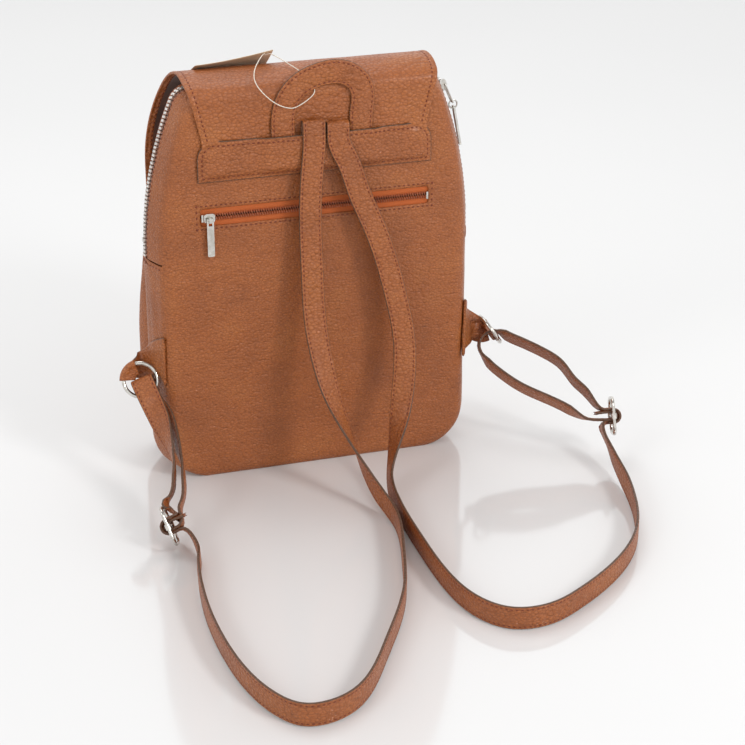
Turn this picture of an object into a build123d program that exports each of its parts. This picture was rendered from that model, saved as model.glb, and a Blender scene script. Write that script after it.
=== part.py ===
from build123d import *
import os
from collections import namedtuple
from math import asin, cos, pi, radians, sin

# Small leather backpack, standing on its base with its shoulder straps laid out behind it.
# Millimetres, +Z up. The wearer's back is towards +Y and the flap falls down the front, -Y.
# The origin is the middle of the base, on the surface that the bag stands on.

os.makedirs("parts", exist_ok=True)

# ---------------------------------------------------------------- driving sizes
leather = 1.8            # one panel of leather with its backing
fit_gap = 0.3            # space left between soft pieces that lie on each other
panel_half_w = 135.0     # half the width of the back and front panels
body_d = 60.0            # body from the back panel's face to the front panel's face
belly = 9.5              # how far the gusset's middle stands out past the panels' edge
turn_z = 204.0           # height where the sides start to lean in, and the main zip ends
panel_side_r = 386.0     # radius of the leaning part of the panels' sides
zip_side_r = 350.0       # radius of the same stretch along the main zip
panel_lean = 19.0        # degrees that the panels' sides lean in before the top corner
zip_lean = 23.0          # the same for the main zip
panel_corner_r = 28.0
zip_corner_r = 18.0
foot_r = 36.0            # bottom corners of the body

chain_w = 5.8            # main zip: both rows of teeth together
chain_t = 2.6
chain_proud = 0.2        # teeth above the leather strips
slot_w = 1.4             # way between the two rows for the slider's post
tape_t = 0.6
tape_under = 0.3         # tape below the leather strips
tape_w = 11.0
strip_gap = 1.7          # from the teeth to the edge of the leather strip

pocket_d = 30.0          # front pocket, from the front panel to its face
pocket_top = 238.0
pocket_swell = 10.0      # how far its sides stand out past the panels

patch_w = 204.8
patch_z0 = 276.5
patch_h = 35.8
patch_corner_r = 16.0
patch_rim = 4.0
strap_t = 2.6            # two layers of leather sewn back to back
strap_w = 20.0
handle_w = 21.0
strap_beside = 1.0       # between the two straps, and between the handle's legs and the straps
handle_t = 3.2

flap_t = 2.4
flap_rear_gap = 0.4      # between the back panel and the flap
flap_back_r = 12.0       # rear bend of the flap, and degrees that it turns there
flap_back_turn = 65.0
crest_z = 347.8 + body_d / 4   # a deeper body lifts the flap's arch
flap_clear = 7.87        # from the front pocket's face to the flap's
flap_front_r2 = 110.0    # the front falls in two bends; the first one's radius follows
flap_bend1 = 50.0        # degrees turned by the first of them
flap_hem_z = 190.0       # lower edge of the flap
flap_half_patch = 98.0   # half widths: at the patch, at the crest, and down the front
flap_half_crest = 110.0
flap_half_front = 128.0
flap_hem_r = 40.0
hinge_gap = 0.4

window_w = 201.0         # back pocket zip, seen through a window in the back panel
window_h = 15.2
window_z = 245.0
coil_w = 6.4
coil_t = 2.0
back_tape_h = 13.0       # each half of the tape
pouch_depth = 110.0      # pouch below the window
pouch_t = 0.6
pouch_room = 5.6

ring_r = strap_w / 2 + 4.6     # rings: middle of the wire
ring_wire_r = 1.7
tab_seam_w = 46.0
tab_fold_w = strap_w - 2.0
tab_t = 1.5
buckle_half_l = 16.0     # middle of the wire, along the strap
buckle_half_w = strap_w / 2 + 3.0
buckle_wire_r = 1.5
buckle_corner_r = 7.0

snap_r = 9.0
snap_z = 212.0
card_w = 68.0
card_h = 40.0
card_t = 0.5
string_r = 0.4

# ---------------------------------------------------------------- places worked out from them
back_y = body_d / 2
front_y = -body_d / 2
gusset_y = back_y - leather                      # the gusset lies between the panels
pocket_y = front_y - pocket_d                    # face of the front pocket
bend_sin = sin(radians(flap_bend1))
flap_front_r1 = (flap_clear - pocket_y - flap_front_r2 * (1 - bend_sin)) / bend_sin
Outline = namedtuple("Outline", "half side_r lean corner_r")
panel_outline = Outline(panel_half_w, panel_side_r, panel_lean, panel_corner_r)
zip_outline = Outline(panel_half_w + belly, zip_side_r, zip_lean, zip_corner_r)


def facing(y):
    """The upright plane at that depth, drawn in X and Z; its normal points to the front."""
    return Plane.XZ.offset(-y)


def side_point(outline, lean, inset=0.0):
    """Point of the leaning side at that many degrees of lean, for x > 0."""
    r = outline.side_r - inset
    return outline.half - outline.side_r + r * cos(radians(lean)), turn_z + r * sin(radians(lean))


def bag_face(y, outline, inset=0.0):
    """Bag outline on the upright plane at y, inset evenly."""
    corner = outline.corner_r - inset
    foot = foot_r - inset
    foot_x = outline.half - foot_r
    x_top, z_top = side_point(outline, outline.lean)
    cx = x_top - outline.corner_r * cos(radians(outline.lean))
    cz = z_top - outline.corner_r * sin(radians(outline.lean))
    half_turn = radians((90 + outline.lean) / 2)
    side_low = (outline.half - inset, foot_r)
    side_mid = (outline.half - inset, turn_z)
    side_top = side_point(outline, outline.lean, inset)
    with BuildSketch(facing(y)) as face:
        with BuildLine():
            Line((0, inset), (foot_x, inset))
            ThreePointArc(
                (foot_x, inset),
                (foot_x + foot * sin(pi / 4), foot_r - foot * cos(pi / 4)),
                side_low,
            )
            Line(side_low, side_mid)
            ThreePointArc(side_mid, side_point(outline, outline.lean / 2, inset), side_top)
            ThreePointArc(
                side_top, (cx + corner * cos(half_turn), cz + corner * sin(half_turn)), (cx, cz + corner)
            )
            Line((cx, cz + corner), (0, cz + corner))
            mirror(about=Plane.YZ)
        make_face()
    return face.sketch


def body_form(inset, depth=gusset_y, flat=chain_w / 2 + 2.0):
    """Solid inside of the gusset: the panels' outline at both ends, the zip's in the middle."""
    with BuildPart() as form:
        loft(
            [
                bag_face(depth, panel_outline, inset).face(),
                bag_face(flat, zip_outline, inset).face(),
                bag_face(-flat, zip_outline, inset).face(),
                bag_face(-depth, panel_outline, inset).face(),
            ],
            ruled=True,
        )
    return form.part


def slab(x, y, z):
    """Box between two pairs of corners, for cutting and keeping."""
    return Pos((x[0] + x[1]) / 2, (y[0] + y[1]) / 2, (z[0] + z[1]) / 2) * Box(
        x[1] - x[0], y[1] - y[0], z[1] - z[0]
    )


def beside(spot):
    """A place beside or behind the bag, moved with the panels' width and the body's depth."""
    x, y, z = spot
    out = (panel_half_w - 135.0) * max(-1.0, min(1.0, x / 135.0))
    return x + out, y + back_y - 30.0, z


wide = (-400.0, 400.0)
pieces = []


def finish(builder, name):
    """Labels a finished piece and writes its file."""
    builder.part.label = name
    pieces.append(builder.part)
    export_step(builder.part, f"parts/{name}.step")


def mix(a, b, share):
    """Point or direction that share of the way from a to b."""
    return a + (b - a) * share


def ruled_face(a, b, c, d):
    """Ruled face from the line a-b to the line c-d."""
    return Face.make_surface_from_curves(Edge.make_line(a, b), Edge.make_line(c, d))


def skin(sections):
    """Solid through rectangles of four corners each, with flat ends and ruled sides."""
    faces = [Face(Wire.make_polygon(sections[0])), Face(Wire.make_polygon(sections[-1]))]
    for low, high in zip(sections, sections[1:]):
        for i in range(4):
            j = (i + 1) % 4
            faces.append(ruled_face(low[i], low[j], high[i], high[j]))
    return Solid(Shell(faces))


def corners(spot, side, ahead, width, thickness):
    """Corners of a rectangle across a strap: side is its width direction, ahead its run."""
    across = (side - ahead * side.dot(ahead)).normalized() * (width / 2)
    up = ahead.cross(across).normalized() * (thickness / 2)
    return [spot - across - up, spot + across - up, spot + across + up, spot - across + up]


def ribbon(points, sides, width, thickness, step=11.0):
    """Strap along a smooth line through the points; sides are its width directions there."""
    points = [Vector(*p) for p in points]
    sides = [Vector(*s) for s in sides]
    line = Spline(*points)
    reach = [0.0]
    for a, b in zip(points, points[1:]):
        reach.append(reach[-1] + (b - a).length)
    sections = []
    for i in range(len(points) - 1):
        count = max(1, round((reach[i + 1] - reach[i]) / step))
        last = 1 if i == len(points) - 2 else 0
        for j in range(count + last):
            at = mix(reach[i], reach[i + 1], j / count) / reach[-1]
            spot = line.position_at(at, position_mode=PositionMode.PARAMETER)
            ahead = line.tangent_at(at, position_mode=PositionMode.PARAMETER)
            sections.append(corners(spot, mix(sides[i], sides[i + 1], j / count), ahead, width, thickness))
    return skin(sections)


def plates(stations):
    """Tapering plate through rectangles: centre, width direction, run, width, thickness."""
    return skin([
        corners(Vector(*spot), Vector(*side), Vector(*ahead).normalized(), width, thickness)
        for spot, side, ahead, width, thickness in stations
    ])


def wire_loop(frame, length, width, corner, wire):
    """Round wire bent to a rounded rectangle, given between the middles of its sides."""
    path = (frame * RectangleRounded(length, width, corner)).face().outer_wire()
    start = path.position_at(0.0)
    return sweep(Plane(start, z_dir=path.tangent_at(0.0)) * Circle(wire), path=path)


# ---------------------------------------------------------------- body
leather_band = body_form(0.0) - body_form(leather)
tape_band = body_form(leather + tape_under) - body_form(leather + tape_under + tape_t)
lean_z = (turn_z + fit_gap, 600.0)

with BuildPart() as back_panel:
    extrude(bag_face(back_y, panel_outline), amount=leather)
    with BuildSketch(facing(back_y)):
        with Locations((0, window_z)):
            Rectangle(window_w, window_h)
    extrude(amount=leather, mode=Mode.SUBTRACT)
finish(back_panel, "back_panel")

with BuildPart() as front_panel:
    extrude(bag_face(front_y, panel_outline), amount=-leather)
finish(front_panel, "front_panel")

gusset_form = leather_band & slab(wide, wide, (-10.0, turn_z))
with BuildPart() as lower_gusset:
    add(gusset_form)
finish(lower_gusset, "lower_gusset")

strip_edge = chain_w / 2 + strip_gap
for name, y_range in (
    ("zip_strip_rear", (strip_edge, body_d)), ("zip_strip_front", (-body_d, -strip_edge))
):
    strip_form = leather_band & slab(wide, y_range, lean_z)
    with BuildPart() as strip:
        add(strip_form)
    finish(strip, name)

tape_out = chain_w / 2 + tape_w
for name, y_range in (
    ("main_zip_tape_rear", (chain_w / 2, tape_out)), ("main_zip_tape_front", (-tape_out, -chain_w / 2))
):
    tape_form = tape_band & slab(wide, y_range, lean_z)
    with BuildPart() as tape:
        add(tape_form)
    finish(tape, name)

teeth_w = (chain_w - slot_w) / 2
no_teeth = slab(wide, wide, (-10.0, turn_z + fit_gap))
for name, y_top in (("main_zip_teeth_rear", chain_w / 2), ("main_zip_teeth_front", -slot_w / 2)):
    with BuildPart() as teeth:
        extrude(bag_face(y_top, zip_outline, -chain_proud), amount=teeth_w)
        extrude(bag_face(y_top, zip_outline, chain_t - chain_proud), amount=teeth_w, mode=Mode.SUBTRACT)
        add(no_teeth, mode=Mode.SUBTRACT)
    finish(teeth, name)

with BuildPart() as base_board:
    with Locations((0, 0, leather + 0.2)):
        Box(
            2 * (panel_half_w - foot_r), body_d - 2 * leather - 6.0, 2.0,
            align=(Align.CENTER, Align.CENTER, Align.MIN),
        )
finish(base_board, "base_board")

# ---------------------------------------------------------------- main zip's moving pieces
zip_axis = Vector(zip_outline.side_r - zip_outline.half, 0, turn_z)   # centre of the right side's arc
slider_lean = 21.7       # degrees above the arc's lower end, at rest
slider_len = 12.0
slider_w = 9.0
plate_t = 1.6
plate_gap = 0.3
slider_out = Vector(-cos(radians(slider_lean)), 0, sin(radians(slider_lean)))
slider_down = Vector(-sin(radians(slider_lean)), 0, -cos(radians(slider_lean)))
slider_at = zip_axis + slider_out * zip_outline.side_r
slider_frame = Plane(slider_at, x_dir=slider_down, z_dir=slider_out)
plate_z = chain_proud + plate_gap
under_z = -(chain_t - chain_proud) - plate_gap
eye_x = 1.0              # crown's hole, from the slider's middle
eye_z = 4.1
wire_r = 0.7             # wire of the link and of the ring
pin_gap = 0.08

with BuildPart() as main_zip_slider:
    with BuildSketch(slider_frame.offset(plate_z)):
        RectangleRounded(slider_len, slider_w, 2.2)
    extrude(amount=plate_t)
    with BuildSketch(slider_frame.offset(plate_z)):
        with Locations((0, slider_w / 2 - 0.55), (0, -slider_w / 2 + 0.55)):
            Rectangle(slider_len - 4.6, 1.0)
    extrude(amount=-1.9)
    with BuildSketch(slider_frame.offset(plate_z)):
        Rectangle(4.0, slot_w - 2 * plate_gap)
    extrude(amount=under_z - plate_z)
    with BuildSketch(slider_frame.offset(under_z)):
        RectangleRounded(slider_len - 1.0, chain_w - 2 * plate_gap, 1.2)
    extrude(amount=-1.5)
    with BuildSketch(Plane(slider_at + Vector(0, 1.2, 0), x_dir=slider_down, z_dir=(0, -1, 0))) as crown:
        with Locations((eye_x - 0.6, -(plate_z + plate_t + eye_z + 1.7) / 2)):
            RectangleRounded(6.2, eye_z + 1.7 - plate_z - plate_t + 0.6, 1.4)
        with Locations((eye_x, -eye_z)):
            Circle(wire_r + pin_gap, mode=Mode.SUBTRACT)
    extrude(amount=2.4)
finish(main_zip_slider, "main_zip_slider")

# The link hangs from the crown, the ring from the link and the bar from the ring.
link_len = 19.0
link_hang = 23.8         # degrees from straight down, at rest
ring_mid_r = 3.7
bar_hang = 10.6
bar_len = 37.0
bar_w = 5.0
bar_t = 1.6
link_half_w = 3.2
eye_at = slider_frame.from_local_coords(Vector(eye_x, 0, eye_z))
link_down = Vector(-sin(radians(link_hang)), 0, -cos(radians(link_hang)))
link_out = Vector(-cos(radians(link_hang)), 0, sin(radians(link_hang)))
low_eye = eye_at + link_down * link_len
link_frame = Plane(eye_at, x_dir=link_down, z_dir=link_out)
ring_at = low_eye + link_down * (ring_mid_r - 2 * wire_r - pin_gap)
bar_down = Vector(-sin(radians(bar_hang)), 0, -cos(radians(bar_hang)))
bar_out = Vector(-cos(radians(bar_hang)), 0, sin(radians(bar_hang)))
bar_eye = ring_at + bar_down * ring_mid_r

link_mid = Plane(link_frame.from_local_coords(Vector(link_len / 2, 0, 0)), x_dir=link_down, z_dir=link_out)
link_form = wire_loop(link_mid, link_len, 2 * link_half_w, 1.6, wire_r)
with BuildPart() as main_zip_link:
    add(link_form)
finish(main_zip_link, "main_zip_link")

with BuildPart() as main_zip_ring:
    with Locations(Plane(ring_at, x_dir=link_down, z_dir=(0, 1, 0))):
        Torus(ring_mid_r, wire_r)
finish(main_zip_ring, "main_zip_ring")

with BuildPart() as main_zip_pull_bar:
    with BuildSketch(Plane(bar_eye - bar_out * bar_t / 2, x_dir=bar_down, z_dir=bar_out)):
        with Locations((bar_len / 2 - 2.6, 0)):
            RectangleRounded(bar_len, bar_w, 1.6)
        with Locations((-0.1, 0)):
            Circle(1.4, mode=Mode.SUBTRACT)
    extrude(amount=bar_t)
finish(main_zip_pull_bar, "main_zip_pull_bar")

# Stops clamped over the teeth, and the leather tip on the gusset below the right one.
stop_lean = 2.6
with BuildPart() as zip_end_stops:
    for sign in (-1, 1):
        out = Vector(sign * cos(radians(stop_lean)), 0, sin(radians(stop_lean)))
        spot = Vector(-sign * zip_axis.X, 0, turn_z) + out * (zip_outline.side_r + chain_proud + 0.1)
        with BuildSketch(Plane(spot, x_dir=(0, 1, 0), z_dir=out)):
            RectangleRounded(chain_w, 3.0, 0.6)
        extrude(amount=0.9)
finish(zip_end_stops, "zip_end_stops")

with BuildPart() as zip_end_tip:
    with BuildSketch(Plane.YZ.offset(-zip_outline.half)):
        with Locations((0, turn_z - 7.5)):
            RectangleRounded(2 * (chain_w / 2 + 1.4), 13.0, 2.0)
    extrude(amount=-1.2)
finish(zip_end_tip, "zip_end_tip")

# ---------------------------------------------------------------- back pocket
back_tape_y = gusset_y - tape_t
coil_y = gusset_y                                  # the coil starts at the panel's inner face
half_coil = (coil_w - slot_w) / 2
for sign, side in ((1, "upper"), (-1, "lower")):
    with BuildPart() as back_tape:
        with BuildSketch(facing(back_tape_y)):
            with Locations((0, window_z + sign * (slot_w / 2 + back_tape_h / 2))):
                Rectangle(window_w + 10.0, back_tape_h)
        extrude(amount=-tape_t)
    finish(back_tape, f"back_zip_tape_{side}")
    with BuildPart() as coil:
        with BuildSketch(facing(coil_y)):
            with Locations((0, window_z + sign * (slot_w / 2 + half_coil / 2))):
                Rectangle(window_w - 1.2, half_coil)
        extrude(amount=-coil_t)
    finish(coil, f"back_zip_coil_{side}")

back_slider_x = 93.4
back_slider_len = 9.5
back_slider_w = 8.0
coil_top = coil_y + coil_t
back_plate_y = coil_top + plate_gap
back_eye_y = back_plate_y + plate_t + 1.9
back_eye_z = window_z - 1.0
back_pin_r = 1.0
with BuildPart() as back_zip_slider:
    with BuildSketch(facing(back_plate_y)):
        with Locations((back_slider_x, window_z)):
            RectangleRounded(back_slider_len, back_slider_w, 2.4)
    extrude(amount=-plate_t)
    with BuildSketch(facing(back_tape_y - plate_gap)):
        with Locations((back_slider_x, window_z)):
            Rectangle(5.0, slot_w - 2 * plate_gap)
    extrude(amount=-(back_plate_y - back_tape_y + plate_gap))
    with BuildSketch(facing(back_tape_y - plate_gap)):
        with Locations((back_slider_x, window_z)):
            RectangleRounded(back_slider_len - 1.0, back_slider_w - 1.4, 1.4)
    extrude(amount=1.5)
    with BuildSketch(Plane.YZ.offset(back_slider_x - 1.2)):
        with Locations(((back_plate_y + back_eye_y + 1.9) / 2 + 0.5, back_eye_z)):
            Rectangle(back_eye_y + 1.9 - back_plate_y - 1.0, 4.2)
        with Locations((back_eye_y, back_eye_z)):
            Circle(back_pin_r + pin_gap, mode=Mode.SUBTRACT)
    extrude(amount=2.4)
finish(back_zip_slider, "back_zip_slider")

back_pull_w = 6.0
back_pull_len = 34.0
with BuildPart() as back_zip_pull:
    with BuildSketch(facing(back_eye_y + bar_t / 2)):
        with Locations((back_slider_x, back_eye_z + 1.5 - back_pull_len / 2)):
            RectangleRounded(back_pull_w, back_pull_len, 1.4)
        with Locations((back_slider_x, back_eye_z - 1.0)):
            Rectangle(2.4 + 2 * plate_gap, 8.0, mode=Mode.SUBTRACT)
    extrude(amount=bar_t)
    with BuildSketch(Plane.YZ.offset(back_slider_x - back_pull_w / 2)):
        with Locations((back_eye_y, back_eye_z)):
            Circle(back_pin_r)
    extrude(amount=back_pull_w)
finish(back_zip_pull, "back_zip_pull")

with BuildPart() as back_zip_stops:
    for sign in (-1, 1):
        with BuildSketch(facing(coil_top)):
            with Locations((sign * (back_slider_x + back_slider_len / 2 + 1.2), window_z)):
                Rectangle(1.6, coil_w)
        extrude(amount=-1.0)
finish(back_zip_stops, "back_zip_stops")

pouch_y0 = back_tape_y - pouch_t - pouch_room
pouch_z0 = window_z - pouch_depth
pouch_z1 = window_z + slot_w / 2 + back_tape_h + 3.0
with BuildPart() as back_pocket_pouch:
    with BuildSketch(facing(back_tape_y)):
        with Locations((0, (pouch_z0 + pouch_z1) / 2)):
            Rectangle(window_w + 5.0, pouch_z1 - pouch_z0)
    extrude(amount=back_tape_y - pouch_y0)
    with BuildSketch(facing(back_tape_y - pouch_t)):
        with Locations((0, (pouch_z0 + pouch_z1) / 2)):
            Rectangle(window_w + 5.0 - 2 * pouch_t, pouch_z1 - pouch_z0 - 2 * pouch_t)
    extrude(amount=pouch_room - pouch_t, mode=Mode.SUBTRACT)
    with BuildSketch(facing(back_tape_y)):
        with Locations((0, window_z)):
            Rectangle(window_w + 1.0, back_slider_w + 1.6)
    extrude(amount=2 * pouch_t, mode=Mode.SUBTRACT)
finish(back_pocket_pouch, "back_pocket_pouch")

# ---------------------------------------------------------------- flap
flap_in_y = back_y + flap_rear_gap
flap_out_y = flap_in_y + flap_t
flap_turn_y = flap_out_y - flap_back_r
crest_r = (flap_out_y - flap_back_r * (1 - cos(radians(flap_back_turn)))) / cos(radians(flap_back_turn))
flap_turn_z = (
    crest_z - crest_r * (1 - sin(radians(flap_back_turn))) - flap_back_r * sin(radians(flap_back_turn))
)
flap_foot_z = patch_z0 + patch_rim + fit_gap
bend2_y = -(flap_front_r1 - flap_front_r2) * sin(radians(flap_bend1))
bend2_z = crest_z - flap_front_r1 + (flap_front_r1 - flap_front_r2) * cos(radians(flap_bend1))
flap_front_y = bend2_y - flap_front_r2


def rear_bend(y, z, r, degrees):
    """Point of a bend in the flap's side view, degrees up from level and towards the back."""
    return y + r * cos(radians(degrees)), z + r * sin(radians(degrees))


def flap_side(depth):
    """Side view of the flap's face at that depth below its outer one: rear part, front part."""
    r_back = flap_back_r - depth
    r_crest = crest_r - depth
    r_one = flap_front_r1 - depth
    r_two = flap_front_r2 - depth
    turn = flap_back_turn
    bend = 180 - flap_bend1
    crest_c = (0, crest_z - crest_r)
    one_c = (0, crest_z - flap_front_r1)
    two_c = (bend2_y, bend2_z)
    crest = (0, crest_z - depth)
    rear = [
        (flap_out_y - depth, flap_foot_z),
        (flap_out_y - depth, flap_turn_z),
        rear_bend(flap_turn_y, flap_turn_z, r_back, turn / 2),
        rear_bend(flap_turn_y, flap_turn_z, r_back, turn),
        rear_bend(*crest_c, r_crest, (90 + turn) / 2),
        crest,
    ]
    front = [
        crest,
        rear_bend(*one_c, r_one, 90 + flap_bend1 / 2),
        rear_bend(*one_c, r_one, 90 + flap_bend1),
        rear_bend(*two_c, r_two, 90 + (90 + flap_bend1) / 2),
        rear_bend(*two_c, r_two, 180),
        (flap_front_y + depth, flap_hem_z),
    ]
    return rear, front


rear_out, front_out = flap_side(0)
rear_in, front_in = flap_side(flap_t)
with BuildPart() as flap_back:
    with BuildSketch(Plane.YZ.offset(-panel_half_w)):
        with BuildLine():
            Line(rear_out[0], rear_out[1])
            ThreePointArc(*rear_out[1:4])
            ThreePointArc(*rear_out[3:6])
            Line(rear_out[5], rear_in[5])
            ThreePointArc(*rear_in[5:2:-1])
            ThreePointArc(*rear_in[3:0:-1])
            Line(rear_in[1], rear_in[0])
            Line(rear_in[0], rear_out[0])
        make_face()
    extrude(amount=2 * panel_half_w)
    with BuildSketch(facing(body_d)):
        with BuildLine():
            Polyline(
                (0, flap_foot_z), (flap_half_patch, flap_foot_z), (flap_half_patch, patch_z0 + patch_h),
                (flap_half_crest, crest_z + 1.0), (0, crest_z + 1.0),
            )
            mirror(about=Plane.YZ)
        make_face()
    extrude(amount=2 * body_d, mode=Mode.INTERSECT)
    with BuildSketch(facing(hinge_gap / 2)):
        with Locations((0, crest_z)):
            Rectangle(3 * panel_half_w, 4 * flap_t)
    extrude(amount=hinge_gap, mode=Mode.SUBTRACT)
finish(flap_back, "flap_back")

with BuildPart() as flap_front:
    with BuildSketch(Plane.YZ.offset(-panel_half_w)):
        with BuildLine():
            ThreePointArc(*front_out[0:3])
            ThreePointArc(*front_out[2:5])
            Line(front_out[4], front_out[5])
            Line(front_out[5], front_in[5])
            Line(front_in[5], front_in[4])
            ThreePointArc(*front_in[4:1:-1])
            ThreePointArc(*front_in[2::-1])
            Line(front_in[0], front_out[0])
        make_face()
    extrude(amount=2 * panel_half_w)
    with BuildSketch(facing(body_d)):
        with BuildLine():
            Polyline((0, crest_z + 1.0), (flap_half_crest, crest_z + 1.0), (flap_half_crest, crest_z))
            ThreePointArc(
                (flap_half_crest, crest_z),
                (mix(flap_half_crest, flap_half_front, 0.72), mix(crest_z, 262.0, 0.5)),
                (flap_half_front, 262.0),
            )
            Line((flap_half_front, 262.0), (flap_half_front, flap_hem_z + flap_hem_r))
            RadiusArc(
                (flap_half_front, flap_hem_z + flap_hem_r), (flap_half_front - flap_hem_r, flap_hem_z), flap_hem_r
            )
            Line((flap_half_front - flap_hem_r, flap_hem_z), (0, flap_hem_z))
            mirror(about=Plane.YZ)
        make_face()
    extrude(amount=3 * body_d, mode=Mode.INTERSECT)
    with BuildSketch(facing(hinge_gap / 2)):
        with Locations((0, crest_z)):
            Rectangle(3 * panel_half_w, 4 * flap_t)
    extrude(amount=hinge_gap, mode=Mode.SUBTRACT)
finish(flap_front, "flap_front")

# ---------------------------------------------------------------- magnetic snap
snap_t = 2.6
snap_gap = 0.4
flap_inner_y = flap_front_y + flap_t
with BuildPart() as snap_male:
    with BuildSketch(facing(flap_inner_y)):
        with Locations((0, snap_z)):
            Circle(snap_r)
    extrude(amount=-(snap_t - 0.9))
    with BuildSketch(facing(flap_inner_y + snap_t - 0.9)):
        with Locations((0, snap_z)):
            Circle(3.0)
    extrude(amount=-1.6)
finish(snap_male, "snap_male")

snap_face_y = flap_inner_y + snap_t - 0.9 + snap_gap
snap_base_y = pocket_y
with BuildPart() as snap_female:
    with BuildSketch(facing(snap_face_y)):
        with Locations((0, snap_z)):
            Circle(snap_r)
            Circle(3.0 + snap_gap, mode=Mode.SUBTRACT)
    extrude(amount=-(snap_base_y - snap_face_y))
finish(snap_female, "snap_female")

with BuildPart() as snap_washer:
    with BuildSketch(facing(snap_base_y + leather)):
        with Locations((0, snap_z)):
            Circle(snap_r - 1.0)
            Circle(2.0, mode=Mode.SUBTRACT)
    extrude(amount=-0.8)
finish(snap_washer, "snap_washer")

# ---------------------------------------------------------------- front pocket
pocket_gap = fit_gap


def pocket_face(y, half, foot, r, top):
    """Rounded U of the front pocket on the upright plane at y."""
    with BuildSketch(facing(y)) as face:
        with BuildLine():
            Line((0, foot), (half - r, foot))
            ThreePointArc(
                (half - r, foot), (half - r + r * sin(pi / 4), foot + r * (1 - cos(pi / 4))), (half, foot + r)
            )
            Line((half, foot + r), (half, top))
            Line((half, top), (0, top))
            mirror(about=Plane.YZ)
        make_face()
    return face.sketch.face()


pocket_at = [      # depth in front of the body, then half width, foot and corner
    (0.0, panel_half_w + 1.0, 0.6, foot_r),
    (16.0, panel_half_w + pocket_swell, 4.0, foot_r + 2.0),
    (pocket_d - 3.0, panel_half_w + 0.4 * pocket_swell, 11.0, foot_r + 6.0),
    (pocket_d, panel_half_w - 11.0, 26.0, foot_r + 8.0),
]
pocket_out = [
    pocket_face(front_y - max(depth, pocket_gap), half, foot, r, pocket_top)
    for depth, half, foot, r in pocket_at
]
pocket_in = [
    pocket_face(
        front_y - depth + (leather if depth == pocket_d else depth * leather / pocket_d),
        half - leather, foot + leather, r - leather, pocket_top + 5.0,
    )
    for depth, half, foot, r in pocket_at
]
pocket_form = Solid.make_loft([f.outer_wire() for f in pocket_out], ruled=True)
pocket_room = Solid.make_loft([f.outer_wire() for f in pocket_in], ruled=True)
with BuildPart() as front_pocket:
    add(pocket_form)
    add(pocket_room, mode=Mode.SUBTRACT)
finish(front_pocket, "front_pocket")

# ---------------------------------------------------------------- patch, handle and strap roots
layer_y = flap_out_y                    # handle ends and strap ends lie on the flap, under the patch
layer_t = max(handle_t, strap_t) + 0.2
patch_y = layer_y + layer_t
patch_t = 1.6
patch_mid_z = patch_z0 + patch_h / 2
handle_left = 28.9                      # middle of its left leg
left_x = handle_left - (handle_w + strap_w) / 2 - 4.8     # middles of the two straps at the patch
right_x = left_x - strap_w - strap_beside
handle_x = (handle_left, right_x - (handle_w + strap_w) / 2 - strap_beside / 2)
slot_gap = 0.4


def patch_outline():
    """Face of the patch: square below, rounded above."""
    with BuildSketch(facing(back_y)) as face:
        with Locations((0, patch_mid_z)):
            Rectangle(patch_w, patch_h)
        fillet(face.vertices().group_by(Axis.Z)[-1], patch_corner_r)
    return face.sketch


patch_form = extrude(patch_outline(), amount=-(patch_y + patch_t - back_y))
patch_inside = flap_half_patch + fit_gap
patch_rim_z = patch_z0 + patch_rim
patch_top_z = patch_z0 + patch_h
patch_room = slab((-patch_inside, patch_inside), (0.0, layer_y), (patch_rim_z, 600.0))
patch_layer = slab(
    (-patch_inside + patch_rim, patch_inside - patch_rim), (0.0, patch_y), (patch_rim_z, patch_top_z - patch_rim)
)
with BuildPart() as patch:
    add(patch_form)
    add(patch_room, mode=Mode.SUBTRACT)
    add(patch_layer, mode=Mode.SUBTRACT)
    for middle, width in (
        (handle_x[0], handle_w), (handle_x[1], handle_w), (left_x, strap_w), (right_x, strap_w)
    ):
        with Locations((middle, (layer_y + patch_y) / 2, patch_top_z)):
            Box(width + 2 * slot_gap, layer_t, 2 * patch_rim + 2.0, mode=Mode.SUBTRACT)
finish(patch, "patch")

handle_foot_z = patch_rim_z + 4.0
leg_shift = handle_x[1] + 38.4          # the arch follows its right leg
with BuildPart() as handle:
    with BuildSketch(facing(layer_y)):
        with BuildLine():
            Spline(
                (handle_x[0], handle_foot_z), (handle_x[0], 313.0), (27.8, 334.0), (14.5, 354.5),
                (-1.0 + leg_shift / 2, 361.6), (-18.2 + leg_shift, 363.4), (-32.5 + leg_shift, 357.5),
                (-40.0 + leg_shift, 344.5), (-39.4 + leg_shift, 330.0), (handle_x[1], 313.0),
                (handle_x[1], handle_foot_z),
                tangents=[(0, 1), (0, -1)],
            )
        trace(line_width=handle_w)
    extrude(amount=-handle_t)
finish(handle, "handle")

# ---------------------------------------------------------------- rings, tabs and buckles
toward = Vector(0.266, 0.866, 0.423)     # the loops of strap lie across this direction
ring_gap = 0.35
tab_r = ring_wire_r + ring_gap + tab_t   # outside of the tab's fold round the wire
fold_angle = 2 * 57.3 * asin(tab_fold_w / 2 / ring_r)
frame_gap = 0.08

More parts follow.
